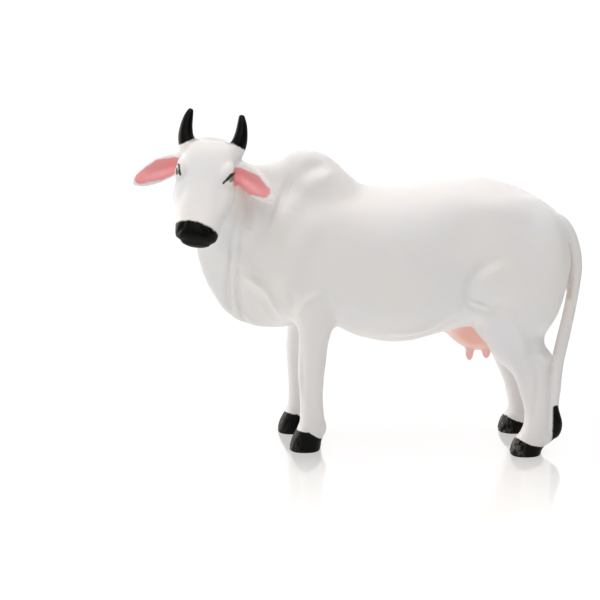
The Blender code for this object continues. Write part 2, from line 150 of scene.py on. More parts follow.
HIND_HOOF = (
    (50.8, 0, 7.2, 3.7, 3.7),
    (50.4, 0, 4.0, 4.4, 4.2),
    (48.9, 0, 0.6, 4.8, 5.2),
    (48.0, 0, -3.0, 4.9, 5.1),
)
TAIL = (
    # x, y, z, half width, half depth, down from the root
    (52.0, 0.0, 78.0, 3.0, 2.4),
    (58.4, -0.3, 75.0, 3.2, 2.8),
    (62.0, -1.2, 69.0, 2.6, 2.6),
    (63.6, -2.8, 61.0, 2.3, 2.3),
    (62.4, -5.4, 50.0, 2.1, 2.0),
    (60.0, -8.4, 39.0, 2.2, 2.1),
    (58.1, -10.4, 30.0, 2.2, 2.1),
    (57.5, -11.2, 21.0, 2.0, 2.0),
    (57.2, -11.4, 15.0, 1.9, 1.9),
    (57.9, -11.5, 9.2, 2.8, 2.6),
    (57.6, -11.4, 5.8, 2.5, 2.2),
    (57.3, -11.2, 4.2, 1.2, 1.1),
)
MASSES = (
    # muscle and bone under the skin: x, distance out, z, the three radii, tilt about Y in degrees
    ("shoulder", -27.0, 8.2, 66.0, 9.5, 7.2, 20.0, 24.0),
    ("stifle", 35.5, 11.8, 52.5, 8.0, 5.0, 10.0, -24.0),
    ("hip", 38.0, 6.6, 80.0, 14.0, 7.6, 7.6, 12.0),
)
KNOBS = (
    # hocks and heels: on the fore or the hind leg, x, z, the three radii
    ("fore", -20.0, 6.2, 2.8, 3.4, 3.2),
    ("hind", 54.7, 5.0, 3.6, 3.5, 3.4),
    ("hind", 52.8, 32.8, 3.9, 3.2, 3.6),
)
# The head is built facing -X with the poll at the origin and the forehead up, then turned into place.
SKULL = (
    (-32.0, -0.9, -3.4, 5.0, 3.0, 3.4),
    (-31.0, -0.9, -3.2, 6.5, 4.2, 5.2),
    (-28.8, -0.8, -3.0, 7.0, 4.8, 6.6),
    (-25.6, -0.7, -3.1, 7.4, 4.8, 7.6),
    (-22.6, -0.6, -3.5, 8.2, 4.9, 8.8),
    (-17.4, -0.4, -4.2, 9.4, 5.2, 10.8),
    (-12.2, 0, -5.0, 9.4, 5.8, 11.6),
    (-7.6, 0, -5.2, 9.6, 6.0, 11.4),
    (-3.0, 0, -5.2, 9.0, 5.6, 9.6),
    (0.6, 0, -5.4, 7.6, 4.4, 6.6),
    (2.6, 0, -5.6, 5.0, 2.4, 4.0),
)
HORN = (
    # x, y, z, half width, half depth, for the right horn
    (-3.6, 6.0, -4.6, 3.4, 3.2),
    (-1.0, 7.4, -4.2, 3.1, 3.0),
    (2.0, 8.6, -3.4, 2.7, 2.6),
    (5.0, 9.0, -2.6, 2.1, 2.1),
    (8.0, 8.8, -1.9, 1.6, 1.6),
    (10.4, 8.3, -1.4, 1.0, 1.0),
)
EAR = (
    # along the ear from its root to its tip: x, y, z, half width, half thickness
    (-4.8, 7.6, -5.8, 2.6, 1.9),
    (-6.6, 10.8, -5.2, 3.5, 1.6),
    (-8.9, 14.4, -4.7, 4.15, 1.4),
    (-11.3, 17.6, -4.5, 3.95, 1.3),
    (-13.5, 20.6, -4.6, 2.9, 1.2),
    (-14.8, 22.8, -4.9, 1.3, 1.0),
)
FACE_MASSES = (
    ("brow", -9.4, 6.8, -2.2, 5.0, 3.0, 2.6),
    ("eye", -10.6, 7.6, -3.6, 2.6, 2.6, 2.2),
    ("cheek", -12.0, 5.6, -10.0, 7.0, 3.6, 6.0),
)
FOLDS = (
    # a line under the skin that lifts it or, when negative, sinks it:
    # height, width, on both sides, its points
    (-1.0, 2.2, True, (-30.5, 7.7, 89.2), (-33.8, 11.7, 83.4), (-37.6, 13.5, 76.6), (-41.5, 13.1, 70.7)),
    (-0.7, 1.5, False, (-45.5, -13.7, 69.5), (-49.0, -11.4, 61.2), (-49.6, -7.2, 51.8),
     (-48.7, -4.7, 46.0)),
    (-0.6, 1.5, False, (-44.0, -13.3, 68.4), (-46.2, -11.0, 59.4), (-45.6, -7.1, 50.0),
     (-44.2, -4.4, 43.8)),
    (1.1, 2.0, True, (-42.6, 11.6, 60.3), (-37.7, 11.4, 56.1), (-33.9, 12.3, 51.2), (-32.3, 8.9, 44.4)),
    (-1.1, 2.2, True, (-42.6, 10.6, 55.3), (-39.2, 9.4, 51.6), (-36.6, 8.9, 47.2), (-35.6, 6.9, 42.4)),
    (0.5, 3.0, True, (-15.0, 5.6, 94.2), (-20.6, 7.4, 92.2), (-25.4, 9.2, 88.4), (-28.0, 11.3, 82.6)),
    (-0.7, 3.2, True, (-13.4, 4.4, 96.6), (-18.4, 5.3, 95.8), (-22.6, 6.4, 94.8), (-26.4, 7.3, 91.7)),
    (-1.3, 4.4, True, (-16.4, 15.8, 77.3), (-21.9, 15.9, 69.5), (-25.1, 16.3, 61.3),
     (-27.0, 16.8, 55.9)),
    (1.1, 2.2, True, (-27.2, 14.6, 44.3), (-26.4, 16.6, 49.6), (-22.2, 17.2, 54.0), (-16.1, 16.8, 54.9)),
    (0.6, 3.0, True, (31.9, 17.4, 56.5), (33.6, 17.8, 61.5), (38.1, 17.5, 65.0), (44.5, 16.8, 66.6)),
    (-1.0, 2.0, True, (31.9, 16.2, 51.5), (28.0, 17.4, 56.4), (29.0, 18.0, 62.5), (33.1, 17.5, 67.6)),
    (-0.5, 2.0, True, (32.7, 16.4, 50.6), (37.4, 17.0, 51.0), (42.8, 18.0, 54.4)),
    (-0.8, 2.2, True, (51.7, 14.6, 45.0), (48.9, 16.0, 38.0), (50.0, 15.3, 31.1)),
    (0.9, 1.8, True, (40.4, 15.0, 36.0), (44.6, 14.9, 28.8), (47.3, 14.0, 20.3), (48.6, 14.6, 12.0)),
    (0.7, 1.6, True, (-27.4, 12.6, 40.3), (-27.6, 12.0, 28.5), (-26.6, 11.8, 20.2), (-25.4, 11.8, 12.3)),
)
SWELLS = (
    # broad rises or, when negative, hollows, on both sides: height, radius, x, distance out, z
    (-1.7, 9.0, 28.0, 17.0, 76.0),
    (1.0, 6.5, 40.0, 17.4, 58.0),
    (0.5, 5.0, 36.5, 17.2, 60.5),
    (1.3, 8.0, -27.0, 15.5, 66.5),
    (-0.8, 7.0, -23.0, 12.0, 86.0),
    (0.9, 9.0, -12.5, 11.0, 84.5),
    (-0.8, 8.0, 17.0, 4.5, 34.5),
)
SKIN_STROKES = (
    # finer than the solid has them: name, height, width, on both sides, points on the cow's left
    ("neck crease", -0.8, 0.9, True, (-30.0, -6.0, 93.0), (-31.9, -7.9, 88.2),
     (-34.7, -11.3, 82.3), (-36.4, -13.0, 77.0)),
    ("inner neck crease", -0.6, 0.8, True, (-28.6, -6.6, 91.4), (-30.9, -8.7, 86.8),
     (-34.1, -11.9, 80.4)),
    ("neck fold", -0.9, 0.9, False, (-46.6, -14.7, 83.0), (-48.6, -14.3, 70.8),
     (-50.1, -8.6, 56.8), (-49.0, -4.0, 44.0)),
    ("inner neck fold", -0.85, 0.9, False, (-44.4, -14.0, 80.5), (-46.6, -11.1, 60.8),
     (-46.2, -5.7, 47.8), (-44.4, -3.0, 41.5)),
    ("between the folds", 0.6, 0.8, False, (-46.0, -14.3, 78.0), (-48.2, -11.0, 60.0),
     (-47.6, -6.0, 48.0)),
    ("under the ear", -0.9, 1.6, False, (-42.3, -13.8, 89.0), (-42.0, -14.4, 83.6),
     (-42.6, -14.4, 77.0)),
    ("shoulder edge", 1.0, 1.2, True, (-44.2, -12.0, 61.2), (-40.6, -11.6, 58.3),
     (-36.2, -13.0, 54.4), (-32.4, -10.2, 45.8)),
    ("under the shoulder edge", -0.35, 1.6, True, (-44.9, -9.0, 55.2), (-40.1, -6.8, 47.5),
     (-37.0, -5.0, 42.4)),
    ("brisket ridge", 0.5, 0.8, False, (-47.4, -5.8, 48.4), (-43.8, -4.5, 44.2), (-40.4, -3.0, 40.6)),
    ("arm groove", -0.9, 1.6, True, (-28.6, -16.4, 58.0), (-29.2, -15.6, 53.4), (-29.8, -13.4, 46.8)),
    ("arm edge", 0.7, 1.3, True, (-26.9, -17.2, 48.4), (-25.1, -17.5, 53.9),
     (-19.3, -16.8, 57.0), (-15.6, -16.9, 55.2)),
    ("blade of the shoulder", 0.7, 2.2, True, (-14.5, -5.0, 95.0), (-20.0, -7.4, 92.6),
     (-25.6, -9.6, 88.8), (-29.0, -11.6, 82.4)),
    ("hollow of the hump", -0.7, 2.6, True, (-26.0, -6.4, 94.0), (-22.0, -5.6, 96.2),
     (-18.0, -4.6, 97.4)),
    ("stifle edge", -0.45, 1.6, True, (27.2, -16.8, 55.0), (28.2, -17.8, 60.4),
     (31.6, -18.0, 65.6), (38.0, -17.7, 69.0)),
    ("stifle brim", 0.45, 1.8, True, (30.0, -17.4, 56.4), (31.6, -18.0, 61.0),
     (35.2, -18.0, 64.4), (41.0, -17.6, 65.2)),
    ("stifle lower edge", -0.45, 1.3, True, (33.6, -16.4, 52.0), (37.2, -17.1, 53.2),
     (40.2, -18.5, 56.0), (42.4, -18.7, 60.0)),
    ("flank fold", 1.0, 0.8, True, (26.6, -17.0, 55.6), (29.6, -16.4, 53.8), (32.4, -16.2, 52.8),
     (35.4, -16.0, 51.4)),
    ("under the flank fold", -0.25, 0.9, True, (26.8, -16.6, 53.0), (30.1, -15.8, 51.2),
     (35.6, -15.8, 49.8)),
    ("belly fold", 1.1, 1.7, True, (0.0, -14.2, 42.6), (12.5, -15.3, 44.0), (21.0, -16.8, 49.4),
     (25.4, -17.6, 53.6)),
    ("under the belly fold", -0.7, 1.3, True, (4.0, -13.3, 40.2), (13.3, -13.2, 40.8),
     (22.5, -15.4, 46.3), (26.2, -16.8, 50.4)),
    ("hock cap", 0.4, 0.9, True, (47.2, -15.5, 30.0), (49.5, -15.1, 34.4), (52.1, -14.8, 35.2),
     (54.6, -13.9, 31.4)),
    ("over the hock", -0.4, 1.0, True, (48.4, -15.2, 35.4), (49.7, -15.3, 38.8),
     (51.6, -15.0, 40.4), (54.2, -13.4, 38.4)),
    ("tendon of the hock", -0.35, 1.8, True, (51.8, -14.6, 46.5), (51.6, -14.8, 43.0),
     (51.4, -15.0, 40.0)),
    ("gaskin", 0.5, 1.8, True, (40.6, -17.9, 50.0), (44.1, -17.4, 43.8), (46.9, -16.0, 36.4)),
    ("shin", 0.6, 0.9, True, (40.6, -13.4, 36.6), (44.8, -13.6, 28.8), (47.4, -12.6, 20.3),
     (48.4, -12.6, 12.0)),
    ("fore tendon", -0.4, 1.0, True, (-25.4, -13.6, 37.0), (-25.7, -12.7, 28.2),
     (-25.6, -11.4, 17.0), (-25.3, -10.8, 12.5)),
    ("knee", 0.35, 1.1, True, (-26.8, -12.5, 31.0), (-23.5, -14.4, 31.8), (-20.2, -14.0, 30.2)),
    ("hind tendon", -0.4, 1.0, True, (50.4, -15.1, 32.0), (51.2, -15.1, 25.4),
     (51.1, -14.9, 19.7), (50.3, -14.7, 12.8)),
    ("point of the hip", 0.5, 2.4, True, (29.5, -4.3, 89.5), (33.4, -5.7, 88.5), (37.0, -9.2, 86.6)),
    ("pin bone", 0.45, 2.0, True, (51.5, -7.2, 84.0), (54.3, -9.2, 80.6), (56.2, -11.0, 76.6)),
    ("beside the tail", -1.1, 0.9, False, (58.0, -5.4, 79.0), (59.9, -6.2, 74.2),
     (61.7, -6.0, 67.0), (62.0, -6.2, 56.0)),
    ("seat", -0.5, 2.6, True, (57.6, -9.1, 77.2), (59.6, -10.9, 71.3), (59.1, -14.0, 58.8)),
)
FACE_STROKES = (
    # finer than the solid has them, in the head's own frame, on both sides: name, height, width, points
    ("flat of the poll", -0.6, 2.6, (2.2, -5.5, -3.6), (2.4, 0.0, -3.0), (2.2, 5.5, -3.6)),
    ("hollow of the ear", -0.9, 1.8, (-6.8, 9.0, -3.4), (-8.6, 12.0, -3.2), (-10.6, 15.8, -3.0),
     (-13.2, 20.2, -3.4)),
    ("upper rim of the ear", 0.4, 0.8, (-4.2, 10.0, -4.2), (-5.2, 13.6, -3.8),
     (-7.4, 17.2, -3.6), (-10.8, 20.6, -3.9)),
    ("brow ridge", 0.7, 1.5, (-12.8, 5.0, 1.2), (-9.8, 6.6, 1.6), (-7.2, 8.2, 0.8), (-5.8, 9.2, -1.0)),
    ("upper lid", 0.4, 0.7, (-13.2, 6.6, 0.6), (-11.6, 8.0, 1.2), (-9.6, 9.0, 1.0), (-7.6, 9.8, -0.6)),
    ("lid crease", -0.45, 0.5, (-13.2, 6.9, -0.1), (-11.6, 8.3, 0.5), (-9.8, 9.3, 0.3),
     (-7.8, 10.0, -1.2)),
    ("lower lid", 0.35, 0.6, (-12.8, 7.2, -1.2), (-10.8, 9.0, -2.2), (-8.4, 9.9, -2.4)),
    ("bag under the eye", -0.45, 0.8, (-14.0, 7.2, -1.8), (-11.5, 9.0, -3.5), (-8.4, 9.9, -3.9)),
    ("hollow beside the nose", -0.6, 2.2, (-13.6, 5.8, 0.6), (-18.0, 6.2, -0.4), (-23.0, 6.0, -1.4)),
    ("cheek bone", 0.6, 1.5, (-12.5, 9.2, -5.4), (-16.5, 8.6, -4.8), (-21.5, 7.8, -4.6)),
    ("mouth", -0.25, 0.6, (-24.0, 7.6, -7.6), (-28.4, 7.4, -7.4), (-31.4, 5.6, -6.4),
     (-32.6, 0.0, -5.9)),
    ("nostril", -0.25, 0.8, (-28.0, 2.0, 1.6), (-29.0, 3.4, 1.3), (-30.4, 4.6, 0.2), (-31.2, 4.8, -1.4)),
    ("nostril wing", 0.15, 1.0, (-26.8, 2.4, 1.8), (-27.6, 4.2, 1.4), (-29.2, 5.8, 0.2),
     (-30.4, 6.2, -1.4)),
)


class FigureSettings(bpy.types.PropertyGroup):
    """Sizes and finish of the figurine."""

    head_turn: bpy.props.FloatProperty(
        name="Head turn",
        description="How far the head is turned to the cow's left",
        default=math.radians(76.0),
        subtype="ANGLE",
    )
    head_drop: bpy.props.FloatProperty(
        name="Nose drop",
        description="How far the nose points below the level",
        default=math.radians(56.0),
        subtype="ANGLE",
    )
    head_roll: bpy.props.FloatProperty(
        name="Head roll",
        description="Turn of the head about its own length",
        default=math.radians(3.0),
        subtype="ANGLE",
    )
    head_lean: bpy.props.FloatProperty(
        name="Head lean",
        description="Lean of the whole head towards the tail",
        default=math.radians(2.5),
        subtype="ANGLE",
    )
    poll: bpy.props.FloatVectorProperty(
        name="Poll",
        description="The point between the horns that the head is set on",
        default=(-0.055, -0.012, 0.1059),
        unit="LENGTH",
    )
    fore_stance: bpy.props.FloatProperty(
        name="Fore stance",
        description="Distance of a fore hoof from the middle of the body",
        default=0.0078,
        unit="LENGTH",
    )
    hind_stance: bpy.props.FloatProperty(
        name="Hind stance",
        description="Distance of a hind hoof from the middle of the body",
        default=0.0114,
        unit="LENGTH",
    )
    far_hind_stance: bpy.props.FloatProperty(
        name="Right hind stance",
        description="Distance of the right hind hoof from the middle of the body",
        default=0.0084,
        unit="LENGTH",
    )
    fore_spread: bpy.props.FloatProperty(
        name="Foreleg spread",
        description="How much further out a foreleg stands at the body than at its hoof",
        default=0.0018,
        unit="LENGTH",
    )
    far_hind_spread: bpy.props.FloatProperty(
        name="Right hind leg spread",
        description="How much further out the right hind leg stands at the body than at its hoof",
        default=0.003,
        unit="LENGTH",
    )
    far_fore_step: bpy.props.FloatProperty(
        name="Right foreleg step",
        description="How far forward the right foreleg stands of the left",
        default=0.0041,
        unit="LENGTH",
    )
    far_hind_step: bpy.props.FloatProperty(
        name="Right hind leg step",
        description="How far forward the right hind leg stands of the left",
        default=0.0024,
        unit="LENGTH",
    )
    far_hind_lean: bpy.props.FloatProperty(
        name="Right hind leg lean",
        description="How far the right hind leg leans forward above its fetlock",
        default=0.0034,
        unit="LENGTH",
    )
    sole_level: bpy.props.FloatProperty(
        name="Sole level",
        description="Height in the carver's frame at which the hooves are cut flat",
        default=-0.0011,
        unit="LENGTH",
    )
    mass_grain: bpy.props.FloatProperty(
        name="Mass grain",
        description="Voxel size in which the body's masses are first fused",
        default=0.0012,
        unit="LENGTH",
    )
    skin_grain: bpy.props.FloatProperty(
        name="Skin grain",
        description="Voxel size of the carved skin",
        default=0.00036,
        unit="LENGTH",
    )
    triangles: bpy.props.IntProperty(
        name="Triangles",
        description="Triangles the finished skin is thinned to",
        default=190000,
    )
    white: bpy.props.FloatVectorProperty(
        name="White",
        description="Colour of the moulded plastic",
        default=(0.88, 0.872, 0.862, 1.0),
        size=4,
        subtype="COLOR",
    )
    black: bpy.props.FloatVectorProperty(
        name="Black",
        description="Paint of the horns, muzzle, hooves and tuft",
        default=(0.003, 0.0028, 0.0025, 1.0),
        size=4,
        subtype="COLOR",
    )
    pink: bpy.props.FloatVectorProperty(
        name="Pink",
        description="Paint inside the ears",
        default=(0.86, 0.34, 0.35, 1.0),
        size=4,
        subtype="COLOR",
    )
    # the lighter tone the udder's rim shows in the light; its shade is painted over it in the material
    udder_pink: bpy.props.FloatVectorProperty(
        name="Udder pink",
        description="Paint of the udder",
        default=(0.98, 0.70, 0.62, 1.0),
        size=4,
        subtype="COLOR",
    )
    teat_pink: bpy.props.FloatVectorProperty(
        name="Teat pink",
        description="Paint of the teats",
        default=(0.97, 0.55, 0.53, 1.0),
        size=4,
        subtype="COLOR",
    )


class StudioSettings(bpy.types.PropertyGroup):
    """Floor, lights and camera."""

    floor_colour: bpy.props.FloatVectorProperty(
        name="Floor",
        description="Colour of the glossy acrylic floor",
        default=(0.25, 0.25, 0.25, 1.0),
        size=4,
        subtype="COLOR",
    )
    floor_glow: bpy.props.FloatProperty(
        name="Floor glow",
        description="Light that comes up through the white acrylic of the floor",
        default=0.86,
    )
    back_light: bpy.props.FloatProperty(
        name="Back light",
        description="Extra light of the wall behind",
        default=1.3,
    )
    side_light: bpy.props.FloatProperty(
        name="Side light",
        description="Extra light of the wall on the side of the head",
        default=0.4,
    )
    azimuth: bpy.props.FloatProperty(
        name="Camera azimuth",
        description="Camera turned from square on the left side towards the tail",
        default=math.radians(0.0),
        subtype="ANGLE",
    )
    elevation: bpy.props.FloatProperty(
        name="Camera elevation",
        description="Height of the camera above the level",
        default=math.radians(20.0),
        subtype="ANGLE",
    )
    distance: bpy.props.FloatProperty(
        name="Camera distance",
        description="Distance from the camera to the point it looks at",
        default=0.75,
        unit="LENGTH",
    )
    target: bpy.props.FloatVectorProperty(
        name="Camera target",
        description="Point in the carver's frame that the camera looks at",
        default=(-0.0264, 0.0, 0.0485),
        unit="LENGTH",
    )
    view_width: bpy.props.FloatProperty(
        name="View width",
        description="Width of the picture at the target",
        default=0.198,
        unit="LENGTH",
    )


def figure():
    return bpy.context.scene.cow_figure


def studio():
    return bpy.context.scene.cow_studio


# Modelling by hand: rings pulled out, masses added and fused.


def deselect():
    if bpy.context.mode != "OBJECT":
        bpy.ops.object.mode_set(mode="OBJECT")
    bpy.ops.object.select_all(action="DESELECT")


def curve_through(rows, steps):
    """Rows of a table resampled on a smooth curve that passes through each of them."""
    rows = np.array(rows, float)
    padded = np.vstack([2 * rows[0] - rows[1], rows, 2 * rows[-1] - rows[-2]])
    found = []
    for i in range(len(rows) - 1):
        before, start, end, after = padded[i : i + 4]
        for t in np.arange(steps) / steps:
            bend = (2 * before - 5 * start + 4 * end - after) * t**2
            swing = (3 * start - before - 3 * end + after) * t**3
            found.append(0.5 * (2 * start + (end - before) * t + bend + swing))
    found.append(rows[-1])
    return np.array(found)


def sections(rows, across, squareness, taper, steps):
    """The oval sections along a table's smooth path, with domed ends, as rings of points in metres."""
    stations = curve_through(rows, steps)
    points = stations[:, :3]
    tangents = np.gradient(points, axis=0)
    tangents /= np.linalg.norm(tangents, axis=1)[:, None]
    domes = []
    for end, way in ((0, -1), (-1, 1)):
        depth = min(stations[end, 3:]) * 0.6
        for turn in DOME_TURNS[::way]:
            place = points[end] + way * tangents[end] * depth * math.sin(turn)
            domes.append((place, tangents[end], stations[end, 3:] * math.cos(turn)))
    middle = list(zip(points, tangents, stations[:, 3:]))
    half = len(DOME_TURNS)
    turns = np.linspace(0, 2 * math.pi, ROUND, endpoint=False)
    cosine, sine = np.cos(turns), np.sin(turns)
    over = np.sign(cosine) * abs(cosine) ** (2 / squareness)
    rise = np.sign(sine) * abs(sine) ** (2 / squareness)
    rings = []
    for place, along, sizes in domes[:half] + middle + domes[half:]:
        side = np.array(across) - along * np.dot(across, along)
        side /= np.linalg.norm(side)
        up = np.cross(along, side)
        width = sizes[0] * over * (1 + taper * np.minimum(rise, 0))
        depth = np.where(rise > 0, sizes[1], sizes[-1]) * rise
        rings.append((place + side * width[:, None] + up * depth[:, None]) * MM)
    return rings


def pulled(name, rows, across=(0, 1, 0), squareness=2.0, taper=0.0, steps=4):
    """A limb drawn out by hand: a disc, extruded again and again and reshaped to each section."""
    rings = sections(rows, across, squareness, taper, steps)
    deselect()
    bpy.ops.mesh.primitive_circle_add(vertices=ROUND, radius=MM, fill_type="NGON")
    limb = bpy.context.object
    limb.name = name
    bpy.ops.object.mode_set(mode="EDIT")
    mesh = bmesh.from_edit_mesh(limb.data)
    around = mesh.verts.layers.int.new("around")
    for k, vertex in enumerate(mesh.verts):
        vertex[around] = k
        vertex.co = rings[0][k]
    for ring in rings[1:]:
        bpy.ops.mesh.extrude_region_move()
        mesh = bmesh.from_edit_mesh(limb.data)
        around = mesh.verts.layers.int["around"]
        for vertex in mesh.verts:
            if vertex.select:
                vertex.co = ring[vertex[around]]
    bmesh.update_edit_mesh(limb.data)
    bpy.ops.mesh.select_all(action="SELECT")
    bpy.ops.mesh.normals_make_consistent()
    bpy.ops.object.mode_set(mode="OBJECT")
    return limb


def mass(name, centre, radii, tilt=0.0):
    """An egg of muscle or bone, radii along its own axes, tilted about Y by degrees."""
    deselect()
    bpy.ops.mesh.primitive_uv_sphere_add(
        segments=ROUND,
        ring_count=20,
        radius=1.0,
        location=[c * MM for c in centre],
        rotation=(0, math.radians(tilt), 0),
        scale=[r * MM for r in radii],
    )
    egg = bpy.context.object
    egg.name = name
    bpy.ops.object.transform_apply(location=True, rotation=True, scale=True)
    return egg


def moved_rows(rows, x=0.0, y=0.0, side=1):
    """A table moved along the body and out to one side; side -1 mirrors it to the cow's left."""
    return [(row[0] + x, side * (row[1] + y), *row[2:]) for row in rows]


def leg(kind, rows, hoof_rows, step, stance, side, lean=0.0, spread=0.0):
    """A leg with its hoof, heel and hock, moved forward by step, leaning forward and out above the hoof."""

    def forward(z):
        return (step + lean * min(max((z - LEAN_FROM) / LEAN_OVER, 0.0), 1.0)) / MM

    def out(z):
        return (stance + spread * min(max((z - SPREAD_FROM) / SPREAD_OVER, 0.0), 1.0)) / MM

    limb = [(x - forward(z), side * (y + out(z)), z, *sizes) for x, y, z, *sizes in rows]
    hoof = [(x - step / MM, side * (y + stance / MM), z, *sizes) for x, y, z, *sizes in hoof_rows]
    pieces = [
        pulled(kind + "_leg", limb, squareness=2.2),
        pulled(kind + "_hoof", hoof, squareness=2.6, steps=3),
    ]
    for where, x, z, length, width, height in KNOBS:
        if where == kind:
            centre = (x - forward(z), side * out(z), z)
            pieces.append(mass(kind + "_knob", centre, (length, width, height)))
    return pieces


def legs():
    s = figure()
    return [
        *leg("fore", FORELEG, FORE_HOOF, 0, s.fore_stance, -1, spread=s.fore_spread),
        *leg("fore", FORELEG, FORE_HOOF, s.far_fore_step, s.fore_stance, 1, spread=s.fore_spread),
        *leg("hind", HINDLEG, HIND_HOOF, 0, s.hind_stance, -1),
        *leg("hind", HINDLEG, HIND_HOOF, s.far_hind_step, s.far_hind_stance, 1,
             lean=s.far_hind_lean, spread=s.far_hind_spread),
    ]


def body():
    pieces = [
        pulled("trunk", TRUNK[::-1], squareness=2.2),
        pulled("crest", CREST[::-1]),
        pulled("neck", NECK),
        pulled("dewlap", DEWLAP, taper=0.62),
        mass("udder", (30.7, 0, 41.3), (12.5, 9.0, 9.5), 25.0),
    ]
    for side in (1, -1):
        for name, x, out, z, length, width, height, tilt in MASSES:
            pieces.append(mass(name, (x, side * out, z), (length, width, height), tilt))
    return pieces


def trimmings():
    """What is too fine for the heavy smoothing of the body."""
    pieces = [pulled("tail", TAIL)]
    for side in (1, -1):
        pieces.append(mass("front_teat", (29.6, side * 4.4, 32.0), (1.5, 1.5, 3.2)))
        pieces.append(mass("rear_teat", (35.2, side * 4.4, 32.4), (1.5, 1.5, 2.9)))
    return pieces


def head_place():
    """Where the head goes: rolled, dropped at the nose, turned to the cow's left and leant, on the poll."""
    s = figure()
    return (
        Matrix.Translation(s.poll)
        @ Matrix.Rotation(s.head_lean, 4, "Y")
        @ Matrix.Rotation(s.head_turn, 4, "Z")
        @ Matrix.Rotation(-s.head_drop, 4, "Y")
        @ Matrix.Rotation(s.head_roll, 4, "X")
    )


def head():
    pieces = [pulled("skull", SKULL, squareness=2.3, taper=0.16)]
    for side in (1, -1):
        pieces.append(pulled("horn", moved_rows(HORN, side=side)))
        pieces.append(pulled("ear", moved_rows(EAR, side=side), across=(1, 0, 0)))
        for name, x, out, z, length, width, height in FACE_MASSES:
            pieces.append(mass(name, (x, side * out, z), (length, width, height)))
    for piece in pieces:
        piece.data.transform(head_place())
    return pieces


def applied(whole, kind, **settings):
    """Adds a modifier and applies it."""
    modifier = whole.modifiers.new(kind.title(), kind)
    for key, value in settings.items():
        setattr(modifier, key, value)
    bpy.context.view_layer.objects.active = whole
    bpy.ops.object.modifier_apply(modifier=modifier.name)


def fused(name, pieces, grain, passes, upper_passes=0):
    """The overlapping pieces as one closed skin, smoothed all over and again above the knees."""
    deselect()
    for piece in pieces:
        piece.select_set(True)
    bpy.context.view_layer.objects.active = pieces[0]
    bpy.ops.object.join()
    whole = bpy.context.object
    whole.name = name
    applied(whole, "REMESH", mode="VOXEL", voxel_size=grain)
    applied(whole, "SMOOTH", factor=0.5, iterations=passes)
    if upper_passes:
        upper = whole.vertex_groups.new(name="upper")
        for vertex in whole.data.vertices:
            weight = (vertex.co.z / MM - KNEE) / KNEE_FADE
            if weight > 0:
                upper.add([vertex.index], min(weight, 1.0), "REPLACE")
        applied(whole, "SMOOTH", factor=0.5, iterations=upper_passes, vertex_group="upper")
        whole.vertex_groups.clear()
    return whole


# Carving: lines that lift or sink the skin.


def read(data, key):
    found = np.empty(len(data.vertices) * 3)
    data.vertices.foreach_get(key, found)
    return found.reshape(-1, 3)


def nearest_on_line(places, line):
    """How far each place is from a line, and how far along the line its nearest point is, 0 to 1."""
    apart = np.full(len(places), np.inf)
    along = np.zeros(len(places))
    for i, (start, end) in enumerate(zip(line, line[1:])):
        run = end - start
        t = np.clip((places - start) @ run / (run @ run), 0, 1)
        reach = np.linalg.norm(places - start - t[:, None] * run, axis=1)
        nearer = reach < apart
        apart[nearer] = reach[nearer]
        along[nearer] = (i + t[nearer]) / (len(line) - 1)
    return apart, along


def stroke(places, width, points, narrow=1.0):
    """Which places are near a line, and how strongly it marks each, fading to nothing at its ends."""
    line = curve_through(points, 6)
    reach = 3 * width
    low, high = line.min(axis=0) - reach, line.max(axis=0) + reach
    near = np.flatnonzero(((places > low) & (places < high)).all(axis=1))
    apart, along = nearest_on_line(places[near], line)
    fade = np.sin(math.pi * np.clip(along, 0.03, 0.97)) ** 0.6
    return near, fade * np.exp(-((apart / (width * narrow)) ** 2))


def carved(whole, lines):
    """Lifts or sinks the skin along each line."""
    places = read(whole.data, "co") / MM
    normals = read(whole.data, "normal")
    moved = places.copy()
    for height, width, points in lines:
        near, mark = stroke(places, width, points)
        moved[near] += normals[near] * (height * mark)[:, None]
    whole.data.vertices.foreach_set("co", (moved * MM).ravel())
    whole.data.update()


def swollen(whole):
    """Raises or hollows the skin broadly round each place, before the lines are drawn."""
    places = read(whole.data, "co") / MM
    normals = read(whole.data, "normal")
    rise = np.zeros(len(places))
    for height, radius, x, out, z in SWELLS:
        for side in (1, -1):
            apart = np.linalg.norm(places - (x, side * out, z), axis=1)
            rise += height * np.exp(-((apart / radius) ** 2))
    moved = places + normals * rise[:, None]
    whole.data.vertices.foreach_set("co", (moved * MM).ravel())
    whole.data.update()


def all_folds():
    lines = []
    for height, width, both, *points in (*FOLDS, *(row[1:] for row in SKIN_STROKES)):
        for side in (1, -1) if both else (1,):
            lines.append((height, width, [(x, side * y, z) for x, y, z in points]))
    lines += hoof_clefts()
    place = head_place()
    for _, height, width, *points in FACE_STROKES:
        for side in (1, -1):
            turned = [place @ (Vector((x, side * y, z)) * MM) / MM for x, y, z in points]
            lines.append((height, width, turned))
    return lines


def hoof_places():
    """Each hoof's place along the body, its side and its middle's distance out, in millimetres."""
    s = figure()
    return (
        ("fore", FORE_HOOF, 0.0, -s.fore_stance / MM),
        ("fore", FORE_HOOF, s.far_fore_step / MM, s.fore_stance / MM),
        ("hind", HIND_HOOF, 0.0, -s.hind_stance / MM),
        ("hind", HIND_HOOF, s.far_hind_step / MM, s.far_hind_stance / MM),
    )


def hoof_clefts():
    """The split down the front of each hoof, and the two folds over its coronet."""
    lines = []
    for _, rows, step, across in hoof_places():
        front = [(x - step - length + 0.2, across, z) for x, _, z, _, length in rows]
        lines.append((-0.9, 0.6, [(front[0][0] + 0.3, across, 6.6), front[1], front[2], front[3]]))
        for side in (1, -1):
            crown = [
                (front[1][0] + 0.8, across + side * 0.8, 6.4),
                (front[1][0] + 3.4, across + side * 3.9, 6.2),
                (front[1][0] + 8.0, across + side * 3.4, 4.2),
            ]
            lines.append((0.35, 0.7, crown))
    return lines


